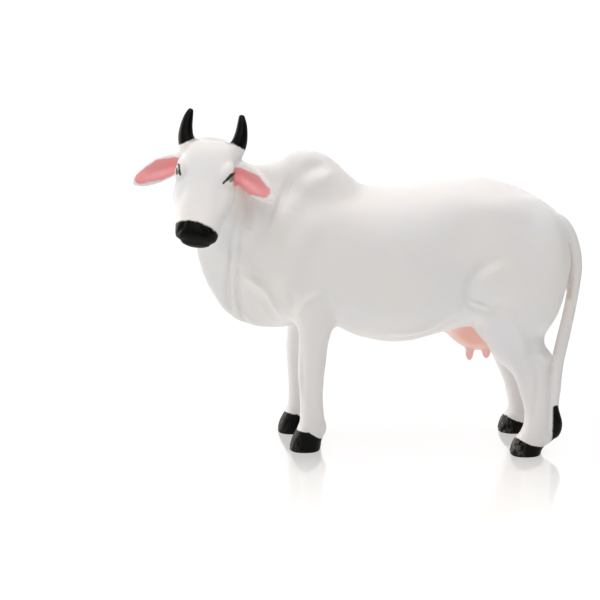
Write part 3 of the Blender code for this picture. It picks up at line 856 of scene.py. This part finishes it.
def shade_in_creases(whole):
    """Keeps how deep the skin is cut at each corner, for the painted shade that darkens the creases."""
    places = read(whole.data, "co") / MM - np.array(carver_move()) / MM
    depth = np.zeros(len(places))
    for height, width, points in all_folds():
        if height < 0 and width <= 1.0:
            near, mark = stroke(places, width, points, narrow=0.8)
            depth[near] -= height * mark
    kept = whole.data.attributes.new("crease", "FLOAT", "POINT")
    kept.data.foreach_set("value", np.clip(depth, 0, 1))


def soled(whole):
    """Cuts the hooves off flat at the sole level and closes them."""
    deselect()
    whole.select_set(True)
    bpy.context.view_layer.objects.active = whole
    bpy.ops.object.mode_set(mode="EDIT")
    bpy.ops.mesh.select_all(action="SELECT")
    bpy.ops.mesh.bisect(
        plane_co=(0, 0, figure().sole_level),
        plane_no=(0, 0, 1),
        use_fill=True,
        clear_inner=True,
        clear_outer=False,
        threshold=1e-7,
    )
    bpy.ops.mesh.select_all(action="SELECT")
    bpy.ops.mesh.normals_make_consistent()
    bpy.ops.object.mode_set(mode="OBJECT")


class COW_OT_model_figure(bpy.types.Operator):
    """Model, carve and paint the figurine"""

    bl_idname = "cow.model_figure"
    bl_label = "Model the Figurine"

    def execute(self, context):
        s = figure()
        masses = fused("masses", body() + legs(), s.mass_grain, 5, 22)
        whole = fused("cow_figurine", [masses, *trimmings(), *head()], s.skin_grain, 8)
        swollen(whole)
        carved(whole, all_folds())
        whole.data.calc_loop_triangles()
        thin = min(1.0, s.triangles / len(whole.data.loop_triangles))
        applied(whole, "DECIMATE", ratio=thin, use_collapse_triangulate=True)
        soled(whole)
        settle(whole)
        shade_in_creases(whole)
        bpy.ops.object.shade_smooth()
        whole.data.materials.clear()
        whole.data.materials.append(painted_plastic())
        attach(whole, "root")
        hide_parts("cow")
        return {"FINISHED"}


def settle(whole):
    """Moves the figure to where the solid stands, and keeps the move for the paint and the camera."""
    places = read(whole.data, "co")
    low, high = (np.array(corner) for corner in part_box("cow"))
    move = (low + high) / 2 - (places.min(axis=0) + places.max(axis=0)) / 2
    move[2] = -figure().sole_level
    whole.data.transform(Matrix.Translation(move))
    bpy.context.scene["cow_move"] = list(move)


def carver_move():
    return Vector(bpy.context.scene["cow_move"])


# Paint: masks drawn on the object's own coordinates.


class Tree:
    """A node tree with short ways to add and join nodes."""

    def __init__(self, tree):
        self.tree = tree

    def add(self, kind, label="", **settings):
        made = self.tree.nodes.new(kind)
        made.label = label
        for key, value in settings.items():
            setattr(made, key, value)
        return made

    def join(self, source, target):
        self.tree.links.new(source, target)

    def math(self, operation, first, second=None, clamp=False):
        made = self.add("ShaderNodeMath", operation=operation, use_clamp=clamp)
        for socket, value in zip(made.inputs, (first, second)):
            self.feed(socket, value)
        return made.outputs[0]

    def feed(self, socket, value):
        if isinstance(value, bpy.types.NodeSocket):
            self.join(value, socket)
        elif value is not None:
            socket.default_value = value

    def vector(self, operation, first, second=None):
        made = self.add("ShaderNodeVectorMath", operation=operation)
        for socket, value in zip(made.inputs, (first, second)):
            self.feed(socket, value)
        return made.outputs["Value" if operation in ("LENGTH", "DOT_PRODUCT") else "Vector"]

    def union(self, *masks):
        whole = masks[0]
        for mask in masks[1:]:
            whole = self.math("MAXIMUM", whole, mask)
        return whole

    def mix(self, mask, under, over):
        made = self.add("ShaderNodeMix", data_type="RGBA")
        self.feed(made.inputs["Factor"], mask)
        self.feed(made.inputs[6], under)
        self.feed(made.inputs[7], over)
        return made.outputs[2]

    def noise(self, vector, scale, detail=2.0, rough=0.5):
        made = self.add("ShaderNodeTexNoise")
        self.feed(made.inputs["Vector"], vector)
        made.inputs["Scale"].default_value = scale
        made.inputs["Detail"].default_value = detail
        made.inputs["Roughness"].default_value = rough
        return made

    def ramp(self, value, low, high, to_low=0.0, to_high=1.0):
        made = self.add("ShaderNodeMapRange")
        self.feed(made.inputs["Value"], value)
        for key, number in zip(("From Min", "From Max", "To Min", "To Max"), (low, high, to_low, to_high)):
            made.inputs[key].default_value = number
        return made.outputs["Result"]


def new_group(name, inputs):
    """An empty node group with one mask output, and its two ends."""
    group = bpy.data.node_groups.new(name, "ShaderNodeTree")
    for key, kind in inputs:
        group.interface.new_socket(name=key, in_out="INPUT", socket_type="NodeSocket" + kind)
    group.interface.new_socket(name="Mask", in_out="OUTPUT", socket_type="NodeSocketFloat")
    t = Tree(group)
    return group, t, t.add("NodeGroupInput").outputs, t.add("NodeGroupOutput").inputs["Mask"]


def paint_spot_group():
    """A spot of paint: 1 inside an egg placed in millimetres, with an edge of a stated softness."""
    vectors = [(key, "Vector") for key in ("Place", "Centre", "Turn", "Size")]
    group, t, given, mask = new_group("paint_spot", (*vectors, ("Edge", "Float")))
    egg = t.add("ShaderNodeMapping", "into the egg", vector_type="TEXTURE")
    for key, source in zip(("Vector", "Location", "Rotation", "Scale"), ("Place", "Centre", "Turn", "Size")):
        t.join(given[source], egg.inputs[key])
    fall = t.math("SUBTRACT", 1.0, t.vector("LENGTH", egg.outputs["Vector"]))
    t.join(t.math("ADD", t.math("DIVIDE", fall, given["Edge"]), 0.5, clamp=True), mask)
    return group


def paint_stroke_group():
    """A stroke of the brush: 1 near a straight line, as wide as the brush's radius there."""
    vectors = [(key, "Vector") for key in ("Place", "Start", "End")]
    floats = [(key, "Float") for key in ("Start Radius", "End Radius", "Edge")]
    group, t, given, mask = new_group("paint_stroke", (*vectors, *floats))
    ahead = t.vector("SUBTRACT", given["Place"], given["Start"])
    run = t.vector("SUBTRACT", given["End"], given["Start"])
    square = t.vector("DOT_PRODUCT", run, run)
    share = t.math("DIVIDE", t.vector("DOT_PRODUCT", ahead, run), square, clamp=True)
    reached = t.add("ShaderNodeVectorMath", operation="SCALE")
    t.join(run, reached.inputs[0])
    t.join(share, reached.inputs["Scale"])
    off = t.vector("LENGTH", t.vector("SUBTRACT", ahead, reached.outputs[0]))
    wider = t.math("MULTIPLY", t.math("SUBTRACT", given["End Radius"], given["Start Radius"]), share)
    inside = t.math("SUBTRACT", t.math("ADD", given["Start Radius"], wider), off)
    t.join(t.math("ADD", t.math("DIVIDE", inside, given["Edge"]), 0.5, clamp=True), mask)
    return group


class Brush:
    """Paints masks in a material with the two groups."""

    def __init__(self, t):
        self.t = t
        self.spots = paint_spot_group()
        self.strokes = paint_stroke_group()

    def spot(self, label, place, centre, size, turn=(0, 0, 0), edge=0.06):
        made = self.t.add("ShaderNodeGroup", label, node_tree=self.spots)
        self.t.join(place, made.inputs["Place"])
        made.inputs["Centre"].default_value = centre
        made.inputs["Turn"].default_value = [math.radians(a) for a in turn]
        made.inputs["Size"].default_value = size
        made.inputs["Edge"].default_value = edge
        return made.outputs["Mask"]

    def strokes_of(self, label, place, rows, edge):
        """The union of several strokes, each of start, end and the two radii."""
        masks = []
        for start, end, radius, end_radius in rows:
            made = self.t.add("ShaderNodeGroup", label, node_tree=self.strokes)
            self.t.join(place, made.inputs["Place"])
            made.inputs["Start"].default_value = start
            made.inputs["End"].default_value = end
            made.inputs["Start Radius"].default_value = radius
            made.inputs["End Radius"].default_value = end_radius
            made.inputs["Edge"].default_value = edge
            masks.append(made.outputs["Mask"])
        return self.t.union(*masks)


HORN_PAINT = (
    # brush strokes in the head's frame: start, end, radius at the start and at the end
    ((2.0, 9.2, -3.2), (12.0, 8.0, -1.2), 3.5, 4.0),
    ((3.0, -9.0, -3.4), (12.0, -8.0, -1.2), 3.5, 4.0),
)
HORN_STAIN = (
    ((2.2, 6.8, -2.6), (3.4, 6.6, -2.2), 2.5, 2.0),
    ((3.2, -6.6, -2.6), (4.0, -6.6, -2.2), 2.6, 2.0),
)
EAR_PAINT = (
    ((-7.7, 10.4, -3.4), (-9.9, 15.0, -3.4), 2.6, 3.4),
    ((-9.9, 15.0, -3.4), (-13.5, 20.8, -3.8), 3.4, 2.0),
    ((-9.0, -10.1, -3.4), (-10.8, -15.0, -3.4), 3.2, 3.5),
    ((-10.8, -15.0, -3.4), (-12.7, -19.4, -3.8), 3.5, 2.0),
)
EYE_LINES = (
    ((-12.6, -6.8, -0.4), (-11.1, -7.9, 0.0), 0.35, 0.45),
    ((-11.1, -7.9, 0.0), (-9.6, -8.8, -0.3), 0.45, 0.55),
    ((-9.6, -8.8, -0.3), (-7.9, -9.5, -2.6), 0.55, 0.4),
    ((-6.2, 10.0, -3.2), (-8.7, 8.3, 0.3), 0.25, 0.4),
    ((-8.7, 8.3, 0.3), (-11.6, 7.5, 0.1), 0.4, 0.45),
    ((-9.6, 8.9, -0.4), (-11.5, 8.6, -0.5), 0.3, 0.35),
)
IRISES = (
    ((-11.0, -8.9, -0.7), (-10.4, -9.2, -0.9), 0.85, 0.8),
    ((-10.9, 8.5, -0.4), (-10.2, 8.9, -0.6), 0.7, 0.6),
)
NOSTRIL_GLINTS = (
    # painted highlights: short grey glints on the black of the nostrils
    ((-28.9, 3.0, 1.2), (-27.2, 2.2, 1.5), 0.3, 0.2),
    ((-27.6, -3.4, 1.5), (-28.9, -5.2, 0.8), 0.3, 0.2),
)
TAIL_SHADOW = (
    # brush strokes in the carver's frame, for the painted shadow in the gap between the tail and the rump
    ((60.9, -5.2, 69.0), (61.5, -5.2, 63.5), 0.6, 1.0),
    ((61.5, -5.2, 63.5), (61.6, -6.6, 52.0), 1.0, 0.6),
)
TUFT_PAINT = (
    ((58.0, -13.2, 15.0), (58.3, -12.8, 6.6), 1.3, 3.8),
    ((58.2, -11.3, 12.0), (57.9, -11.5, 6.6), 1.9, 3.6),
)

# Heights and places in the carver's frame where one colour turns into the next: from, to.
TUFT_FRONT = (56.7, 57.2)
# heights over which the lower legs turn whiter towards the hooves: painted light for the light that falls on
# them
LIT_LEGS = (38.0, 12.0)
UDDER_TOP = (43.2, 42.5)
TEAT_HEIGHTS = (34.4, 31.6)
THIGH_WAY = (0.79, 0.61)
THIGH_EDGE = (49.4, 49.9)


def painted_plastic():
    """White moulded plastic with black and pink paint, with painted shade in its creases, beside the tail,
    under the ear and on the udder, painted light on the lower legs and painted highlights on the nostrils.
    """
    s = figure()
    material = bpy.data.materials.new("painted_plastic")
    material.use_nodes = True
    t = Tree(material.node_tree)
    shader = material.node_tree.nodes["Principled BSDF"]
    shader.inputs["Specular IOR Level"].default_value = 0.1
    shader.inputs["Coat Roughness"].default_value = 0.34
    shader.inputs["Subsurface Weight"].default_value = 0.15
    shader.inputs["Subsurface Radius"].default_value = (1.0, 0.7, 0.5)
    shader.inputs["Subsurface Scale"].default_value = 0.0015
    coords = t.add("ShaderNodeTexCoord").outputs["Object"]
    shake = t.add("ShaderNodeVectorMath", "uneven edges of the paint", operation="MULTIPLY_ADD")
    t.join(t.noise(coords, 900.0, 2.0).outputs["Color"], shake.inputs[0])
    shake.inputs[1].default_value = (0.0005, 0.0005, 0.0005)
    shake.inputs[2].default_value = (-0.00025, -0.00025, -0.00025)
    near = t.vector("ADD", coords, shake.outputs[0])
    carver = t.add("ShaderNodeMapping", "carver's frame, in mm", vector_type="TEXTURE")
    t.join(near, carver.inputs["Vector"])
    carver.inputs["Location"].default_value = carver_move()
    carver.inputs["Scale"].default_value = (MM, MM, MM)
    place = Matrix.Translation(carver_move()) @ head_place()
    skull = t.add("ShaderNodeMapping", "head's frame, in mm", vector_type="TEXTURE")
    t.join(near, skull.inputs["Vector"])
    skull.inputs["Location"].default_value = place.to_translation()
    skull.inputs["Rotation"].default_value = place.to_euler("XYZ")
    skull.inputs["Scale"].default_value = (MM, MM, MM)
    body_place, head_at = carver.outputs["Vector"], skull.outputs["Vector"]
    brush = Brush(t)

    horn = brush.strokes_of("horns", head_at, HORN_PAINT, 0.35)
    muzzle = brush.spot("muzzle", head_at, (-32.6, 0.0, -2.0), (7.2, 9.0, 6.0), (0, -20, 0), 0.06)
    where = t.add("ShaderNodeSeparateXYZ")
    t.join(body_place, where.inputs[0])
    hooves, toes = hoof_masks(t, where)
    tuft = brush.strokes_of("tail tuft", body_place, TUFT_PAINT, 0.4)
    clear = t.ramp(where.outputs["X"], *TUFT_FRONT)
    tuft = t.math("MULTIPLY", tuft, clear)
    black = t.union(horn, muzzle, hooves, tuft)

    mottle = t.noise(coords, 55.0, 3.0, 0.6).outputs["Fac"]
    warm = (s.white[0] * 1.0, s.white[1] * 0.99, s.white[2] * 0.965, 1.0)
    cool = (s.white[0] * 0.965, s.white[1] * 0.975, s.white[2] * 0.995, 1.0)
    colour = t.mix(t.ramp(mottle, 0.35, 0.65), cool, warm)
    # painted shade: the cut creases are darkened towards a warm grey by how deep they are cut
    crease = t.add("ShaderNodeAttribute", "how deep the skin is cut", attribute_name="crease").outputs["Fac"]
    colour = t.mix(t.ramp(crease, 0.1, 1.0, 0.0, 0.4), colour, (0.60, 0.56, 0.53, 1.0))
    # painted light: the lower legs are whitened towards the hooves in place of the light that falls on them
    leg_light = t.ramp(where.outputs["Z"], *LIT_LEGS, 0.0, 0.6)
    colour = t.mix(leg_light, colour, (0.96, 0.94, 0.93, 1.0))
    # painted shadow: a warm brown darkening in the narrow gap where the tail lies against the rump
    painted_shadow = brush.strokes_of("wash beside the tail", body_place, TAIL_SHADOW, 1.6)
    colour = t.mix(t.math("MULTIPLY", painted_shadow, 0.6), colour, (0.56, 0.42, 0.32, 1.0))
    # painted shade: a warm grey darkening on the neck under the ear, where the ear shades it
    under_ear = (-45.0, -14.4, 84.0)
    painted_shade = brush.spot("blush under the ear", body_place, under_ear, (3.4, 4.0, 6.4), edge=1.0)
    colour = t.mix(t.math("MULTIPLY", painted_shade, 0.4), colour, (0.62, 0.52, 0.46, 1.0))

    udder = brush.spot("udder", body_place, (30.5, 0.0, 35.5), (14.6, 15.0, 11.0), edge=0.1)
    aside = t.ramp(t.math("ABSOLUTE", where.outputs["Y"]), 5.0, 6.0)
    forward = t.math("MULTIPLY", where.outputs["X"], THIGH_WAY[0])
    slant = t.math("ADD", forward, t.math("MULTIPLY", where.outputs["Z"], THIGH_WAY[1]))
    thigh = t.math("MULTIPLY", aside, t.ramp(slant, *THIGH_EDGE))
    udder = t.math("MULTIPLY", udder, t.math("SUBTRACT", 1.0, thigh))
    udder = t.math("MULTIPLY", udder, t.ramp(where.outputs["Z"], *UDDER_TOP))
    teats = t.ramp(where.outputs["Z"], *TEAT_HEIGHTS)
    udder_tone = t.mix(teats, tuple(s.udder_pink), tuple(s.teat_pink))
    # painted light and shade: the udder's pink is the lighter tone of its lit rim, and this deeper pink
    # darkens the middle of its near side as shade
    udder_shade = brush.spot("deeper pink", body_place, (30.6, -8.6, 39.2), (6.4, 5.0, 4.2), (0, 30, 0), edge=0.7)
    udder_tone = t.mix(t.math("MULTIPLY", udder_shade, 0.75), udder_tone, (0.93, 0.46, 0.38, 1.0))
    colour = t.mix(udder, colour, udder_tone)
    ear = brush.strokes_of("insides of the ears", head_at, EAR_PAINT, 0.5)
    thin = t.ramp(t.noise(coords, 420.0, 3.0, 0.6).outputs["Fac"], 0.35, 0.7, 0.0, 0.25)
    colour = t.mix(ear, colour, t.mix(thin, tuple(s.pink), (0.84, 0.42, 0.40, 1.0)))

    iris = brush.strokes_of("irises", head_at, IRISES, 0.35)
    colour = t.mix(t.math("MULTIPLY", iris, 0.85), colour, (0.20, 0.20, 0.17, 1.0))
    line = brush.strokes_of("eye lines", head_at, EYE_LINES, 0.3)
    colour = t.mix(line, colour, (0.03, 0.035, 0.03, 1.0))
    stain = brush.strokes_of("stain of the horns", head_at, HORN_STAIN, 1.2)
    colour = t.mix(t.math("MULTIPLY", stain, 0.6), colour, (0.20, 0.11, 0.09, 1.0))

    flecks = t.noise(coords, 1300.0, 4.0, 0.7).outputs["Fac"]
    glints = brush.strokes_of("nostril glints", head_at, NOSTRIL_GLINTS, 0.4)
    streaks = t.add("ShaderNodeMapping", "upright streaks", vector_type="POINT")
    t.join(coords, streaks.inputs["Vector"])
    streaks.inputs["Scale"].default_value = (1.0, 1.0, 0.45)
    streaky = t.noise(streaks.outputs[0], 1000.0, 3.0, 0.6).outputs["Fac"]
    faint = t.math("MULTIPLY", glints, 0.4)
    # grey on the black: real rubbed wear at the hoof fronts and flecks, and painted highlights at the
    # nostrils
    rubbed_and_glints = t.math("MULTIPLY", t.union(toes, faint), t.ramp(streaky, 0.45, 0.65, 0.0, 0.45))
    rubbed_and_glints = t.math("ADD", rubbed_and_glints, t.ramp(flecks, 0.6, 0.8, 0.0, 0.06), clamp=True)
    dry_brush_and_glints = t.mix(rubbed_and_glints, tuple(s.black), (0.30, 0.29, 0.27, 1.0))
    colour = t.mix(black, colour, dry_brush_and_glints)
    t.join(colour, shader.inputs["Base Color"])
    polish = t.noise(coords, 160.0, 2.0).outputs["Fac"]
    dull = t.math("ADD", t.ramp(polish, 0.3, 0.7, 0.40, 0.48), t.ramp(black, 0.0, 1.0, 0.0, -0.06))
    t.join(dull, shader.inputs["Roughness"])
    t.join(t.ramp(black, 0.0, 1.0, 0.35, 0.05), shader.inputs["Coat Weight"])
    grain = t.noise(coords, 2600.0, 2.0).outputs["Fac"]
    waves = t.noise(coords, 130.0, 2.0).outputs["Fac"]
    relief = t.math("ADD", t.math("MULTIPLY", grain, 0.08), t.math("MULTIPLY", waves, 1.0))
    bump = t.add("ShaderNodeBump")
    bump.inputs["Strength"].default_value = 0.25
    bump.inputs["Distance"].default_value = 0.0006
    t.join(relief, bump.inputs["Height"])
    t.join(bump.outputs["Normal"], shader.inputs["Normal"])
    return material


HOOF_BORDERS = {
    # the hoof's middle, the top of its black, the border's height there and how fast it falls to the heel
    "fore": (-24.0, 6.1, 6.6, 0.72),
    "hind": (49.0, 4.8, 3.6, 0.34),
}


def hoof_masks(t, place):
    """The black of the hooves, below a border that falls to the heel, and the rubbed front of each."""
    masks = []
    fronts = []
    for kind, _, step, across in hoof_places():
        middle, cap, level, fall = HOOF_BORDERS[kind]
        ahead = t.math("SUBTRACT", middle - step, place.outputs["X"])
        border = t.math("MINIMUM", t.math("ADD", t.math("MULTIPLY", ahead, fall), level), cap)
        inner = t.math("SUBTRACT", place.outputs["Y"], across)
        border = t.math("SUBTRACT", border, t.ramp(inner, -2.5, 2.5, 0.0, 1.4))
        below = t.math("SUBTRACT", border, place.outputs["Z"])
        wet = t.math("ADD", t.math("MULTIPLY", below, 3.0), 0.5, clamp=True)
        fore = t.math("LESS_THAN", t.math("ABSOLUTE", t.math("ADD", ahead, -1.0)), 7.6)
        away = t.math("ABSOLUTE", inner)
        own = t.math("MULTIPLY", fore, t.math("LESS_THAN", away, 6.4))
        masks.append(t.math("MULTIPLY", wet, own))
        worn = 0.25 if kind == "fore" else 1.0
        fronts.append(t.math("MULTIPLY", own, t.ramp(ahead, 0.5, 3.5, 0.0, worn)))
    return t.union(*masks), t.union(*fronts)


# Where the floor's polish sets in, from the front, in metres along Y: from, to.
POLISH_WIDE = (-0.086, -0.025)
POLISH_CLOSE = (-0.025, -0.010)
SOFTBOXES = (
    # name, way from the middle of the cow in metres, size, power, colour
    ("top_softbox", (0.0, 0.0, 1.0), 0.8, 6.6, (1.0, 0.955, 0.915)),
    ("top_back_softbox", (0.0, 0.6, 0.9), 0.8, 1.6, (1.0, 0.955, 0.915)),
    ("front_softbox", (0.0, -0.6, 0.9), 0.8, 2.6, (1.0, 0.975, 1.02)),
    ("right_softbox", (0.8, 0.0, 0.7), 0.6, 0.8, (1.0, 0.975, 1.0)),
    ("rim_softbox", (-0.8, 0.3, 0.15), 0.5, 3.2, (1.0, 0.96, 0.92)),
)


def floor_gloss():
    """White acrylic lit a little from beneath."""
    material = bpy.data.materials.new("white_acrylic_floor")
    material.use_nodes = True
    t = Tree(material.node_tree)
    shader = material.node_tree.nodes["Principled BSDF"]
    shader.inputs["Base Color"].default_value = studio().floor_colour
    shader.inputs["Emission Strength"].default_value = studio().floor_glow
    shader.inputs["Specular IOR Level"].default_value = 0.1
    shader.inputs["Roughness"].default_value = 0.4
    shader.inputs["Coat IOR"].default_value = 3.0
    coords = t.add("ShaderNodeTexCoord").outputs["Object"]
    where = t.add("ShaderNodeSeparateXYZ")
    t.join(coords, where.inputs[0])
    close = t.ramp(where.outputs["Y"], *POLISH_CLOSE, 0.0, 0.38)
    polish = t.math("ADD", close, t.ramp(where.outputs["Y"], *POLISH_WIDE, 0.0, 0.62))
    t.join(polish, shader.inputs["Coat Weight"])
    glow = t.mix(polish, (1.0, 0.985, 0.965, 1.0), (0.76, 0.749, 0.733, 1.0))
    t.join(glow, shader.inputs["Emission Color"])
    haze = t.ramp(t.noise(coords, 12.0).outputs["Fac"], 0.3, 0.7, 0.09, 0.12)
    t.join(haze, shader.inputs["Coat Roughness"])
    return material


def white_room():
    """A white room that is brighter behind and on the side the head is on."""
    s = studio()
    world = bpy.data.worlds.new("white_room")
    bpy.context.scene.world = world
    world.use_nodes = True
    t = Tree(world.node_tree)
    way = t.add("ShaderNodeSeparateXYZ")
    t.join(t.add("ShaderNodeTexCoord").outputs["Generated"], way.inputs[0])
    behind = t.ramp(way.outputs["Y"], 0.35, 0.85, 0.0, s.back_light)
    beside = t.ramp(way.outputs["X"], 0.0, -0.7, 0.0, s.side_light)
    path = t.add("ShaderNodeLightPath", "the wall is seen brighter than it shines")
    seen = t.math("MAXIMUM", path.outputs["Is Camera Ray"], path.outputs["Is Glossy Ray"])
    behind = t.math("MULTIPLY", behind, t.ramp(seen, 0.0, 1.0, 0.25, 1.0))
    back = world.node_tree.nodes["Background"]
    back.inputs["Color"].default_value = (1.0, 0.98, 1.0, 1.0)
    t.join(t.math("ADD", behind, beside), back.inputs["Strength"])


def soft_light(name, way, size, power, colour):
    """A square softbox hung from the middle of the cow by way, in metres."""
    target = carver_move() + Vector((0.0, 0.0, 0.05))
    place = target + Vector(way)
    data = bpy.data.lights.new(name, "AREA")
    data.energy = power
    data.size = size
    data.color = colour
    lamp = bpy.data.objects.new(name, data)
    bpy.context.scene.collection.objects.link(lamp)
    lamp.location = place
    lamp.rotation_mode = "QUATERNION"
    lamp.rotation_quaternion = (target - place).to_track_quat("-Z", "Y")
    return lamp


class COW_OT_set_stage(bpy.types.Operator):
    """Lay the floor, hang the lights and set the camera"""

    bl_idname = "cow.set_stage"
    bl_label = "Set the Studio"

    def execute(self, context):
        s = studio()
        scene = context.scene
        deselect()
        bpy.ops.mesh.primitive_plane_add(size=6.0, location=(0, 0, 0))
        floor = bpy.context.object
        floor.name = "studio_floor"
        floor.data.materials.append(floor_gloss())

        white_room()
        for row in SOFTBOXES:
            soft_light(*row)

        target = carver_move() + Vector(s.target)
        flat = math.cos(s.elevation)
        aside, ahead = math.sin(s.azimuth) * flat, -math.cos(s.azimuth) * flat
        back_off = Vector((aside, ahead, math.sin(s.elevation)))
        data = bpy.data.cameras.new("camera")
        data.sensor_width = 36.0
        data.lens = 18.0 * s.distance / (s.view_width / 2)
        data.clip_start = 0.01
        data.clip_end = 20.0
        camera = bpy.data.objects.new("camera", data)
        scene.collection.objects.link(camera)
        camera.location = target + back_off * s.distance
        camera.rotation_mode = "QUATERNION"
        camera.rotation_quaternion = (-back_off).to_track_quat("-Z", "Y")
        scene.camera = camera
        scene.view_settings.view_transform = "Standard"
        return {"FINISHED"}


class COW_PT_panel(bpy.types.Panel):
    """Sizes, colours and the steps that build the figurine"""

    bl_label = "Cow Figurine"
    bl_idname = "COW_PT_panel"
    bl_space_type = "VIEW_3D"
    bl_region_type = "UI"
    bl_category = "Cow"

    def draw(self, context):
        layout = self.layout
        for settings, operator in (
            (context.scene.cow_figure, COW_OT_model_figure),
            (context.scene.cow_studio, COW_OT_set_stage),
        ):
            column = layout.column()
            for key in settings.bl_rna.properties.keys():
                if key not in ("rna_type", "name"):
                    column.prop(settings, key)
            layout.operator(operator.bl_idname)


CLASSES = (FigureSettings, StudioSettings, COW_OT_model_figure, COW_OT_set_stage, COW_PT_panel)


def register():
    for kind in CLASSES:
        bpy.utils.register_class(kind)
    bpy.types.Scene.cow_figure = bpy.props.PointerProperty(type=FigureSettings)
    bpy.types.Scene.cow_studio = bpy.props.PointerProperty(type=StudioSettings)


def unregister():
    del bpy.types.Scene.cow_studio
    del bpy.types.Scene.cow_figure
    for kind in reversed(CLASSES):
        bpy.utils.unregister_class(kind)


def main():
    register()
    bpy.ops.cow.model_figure()
    bpy.ops.cow.set_stage()


if __name__ == "__main__":
    main()
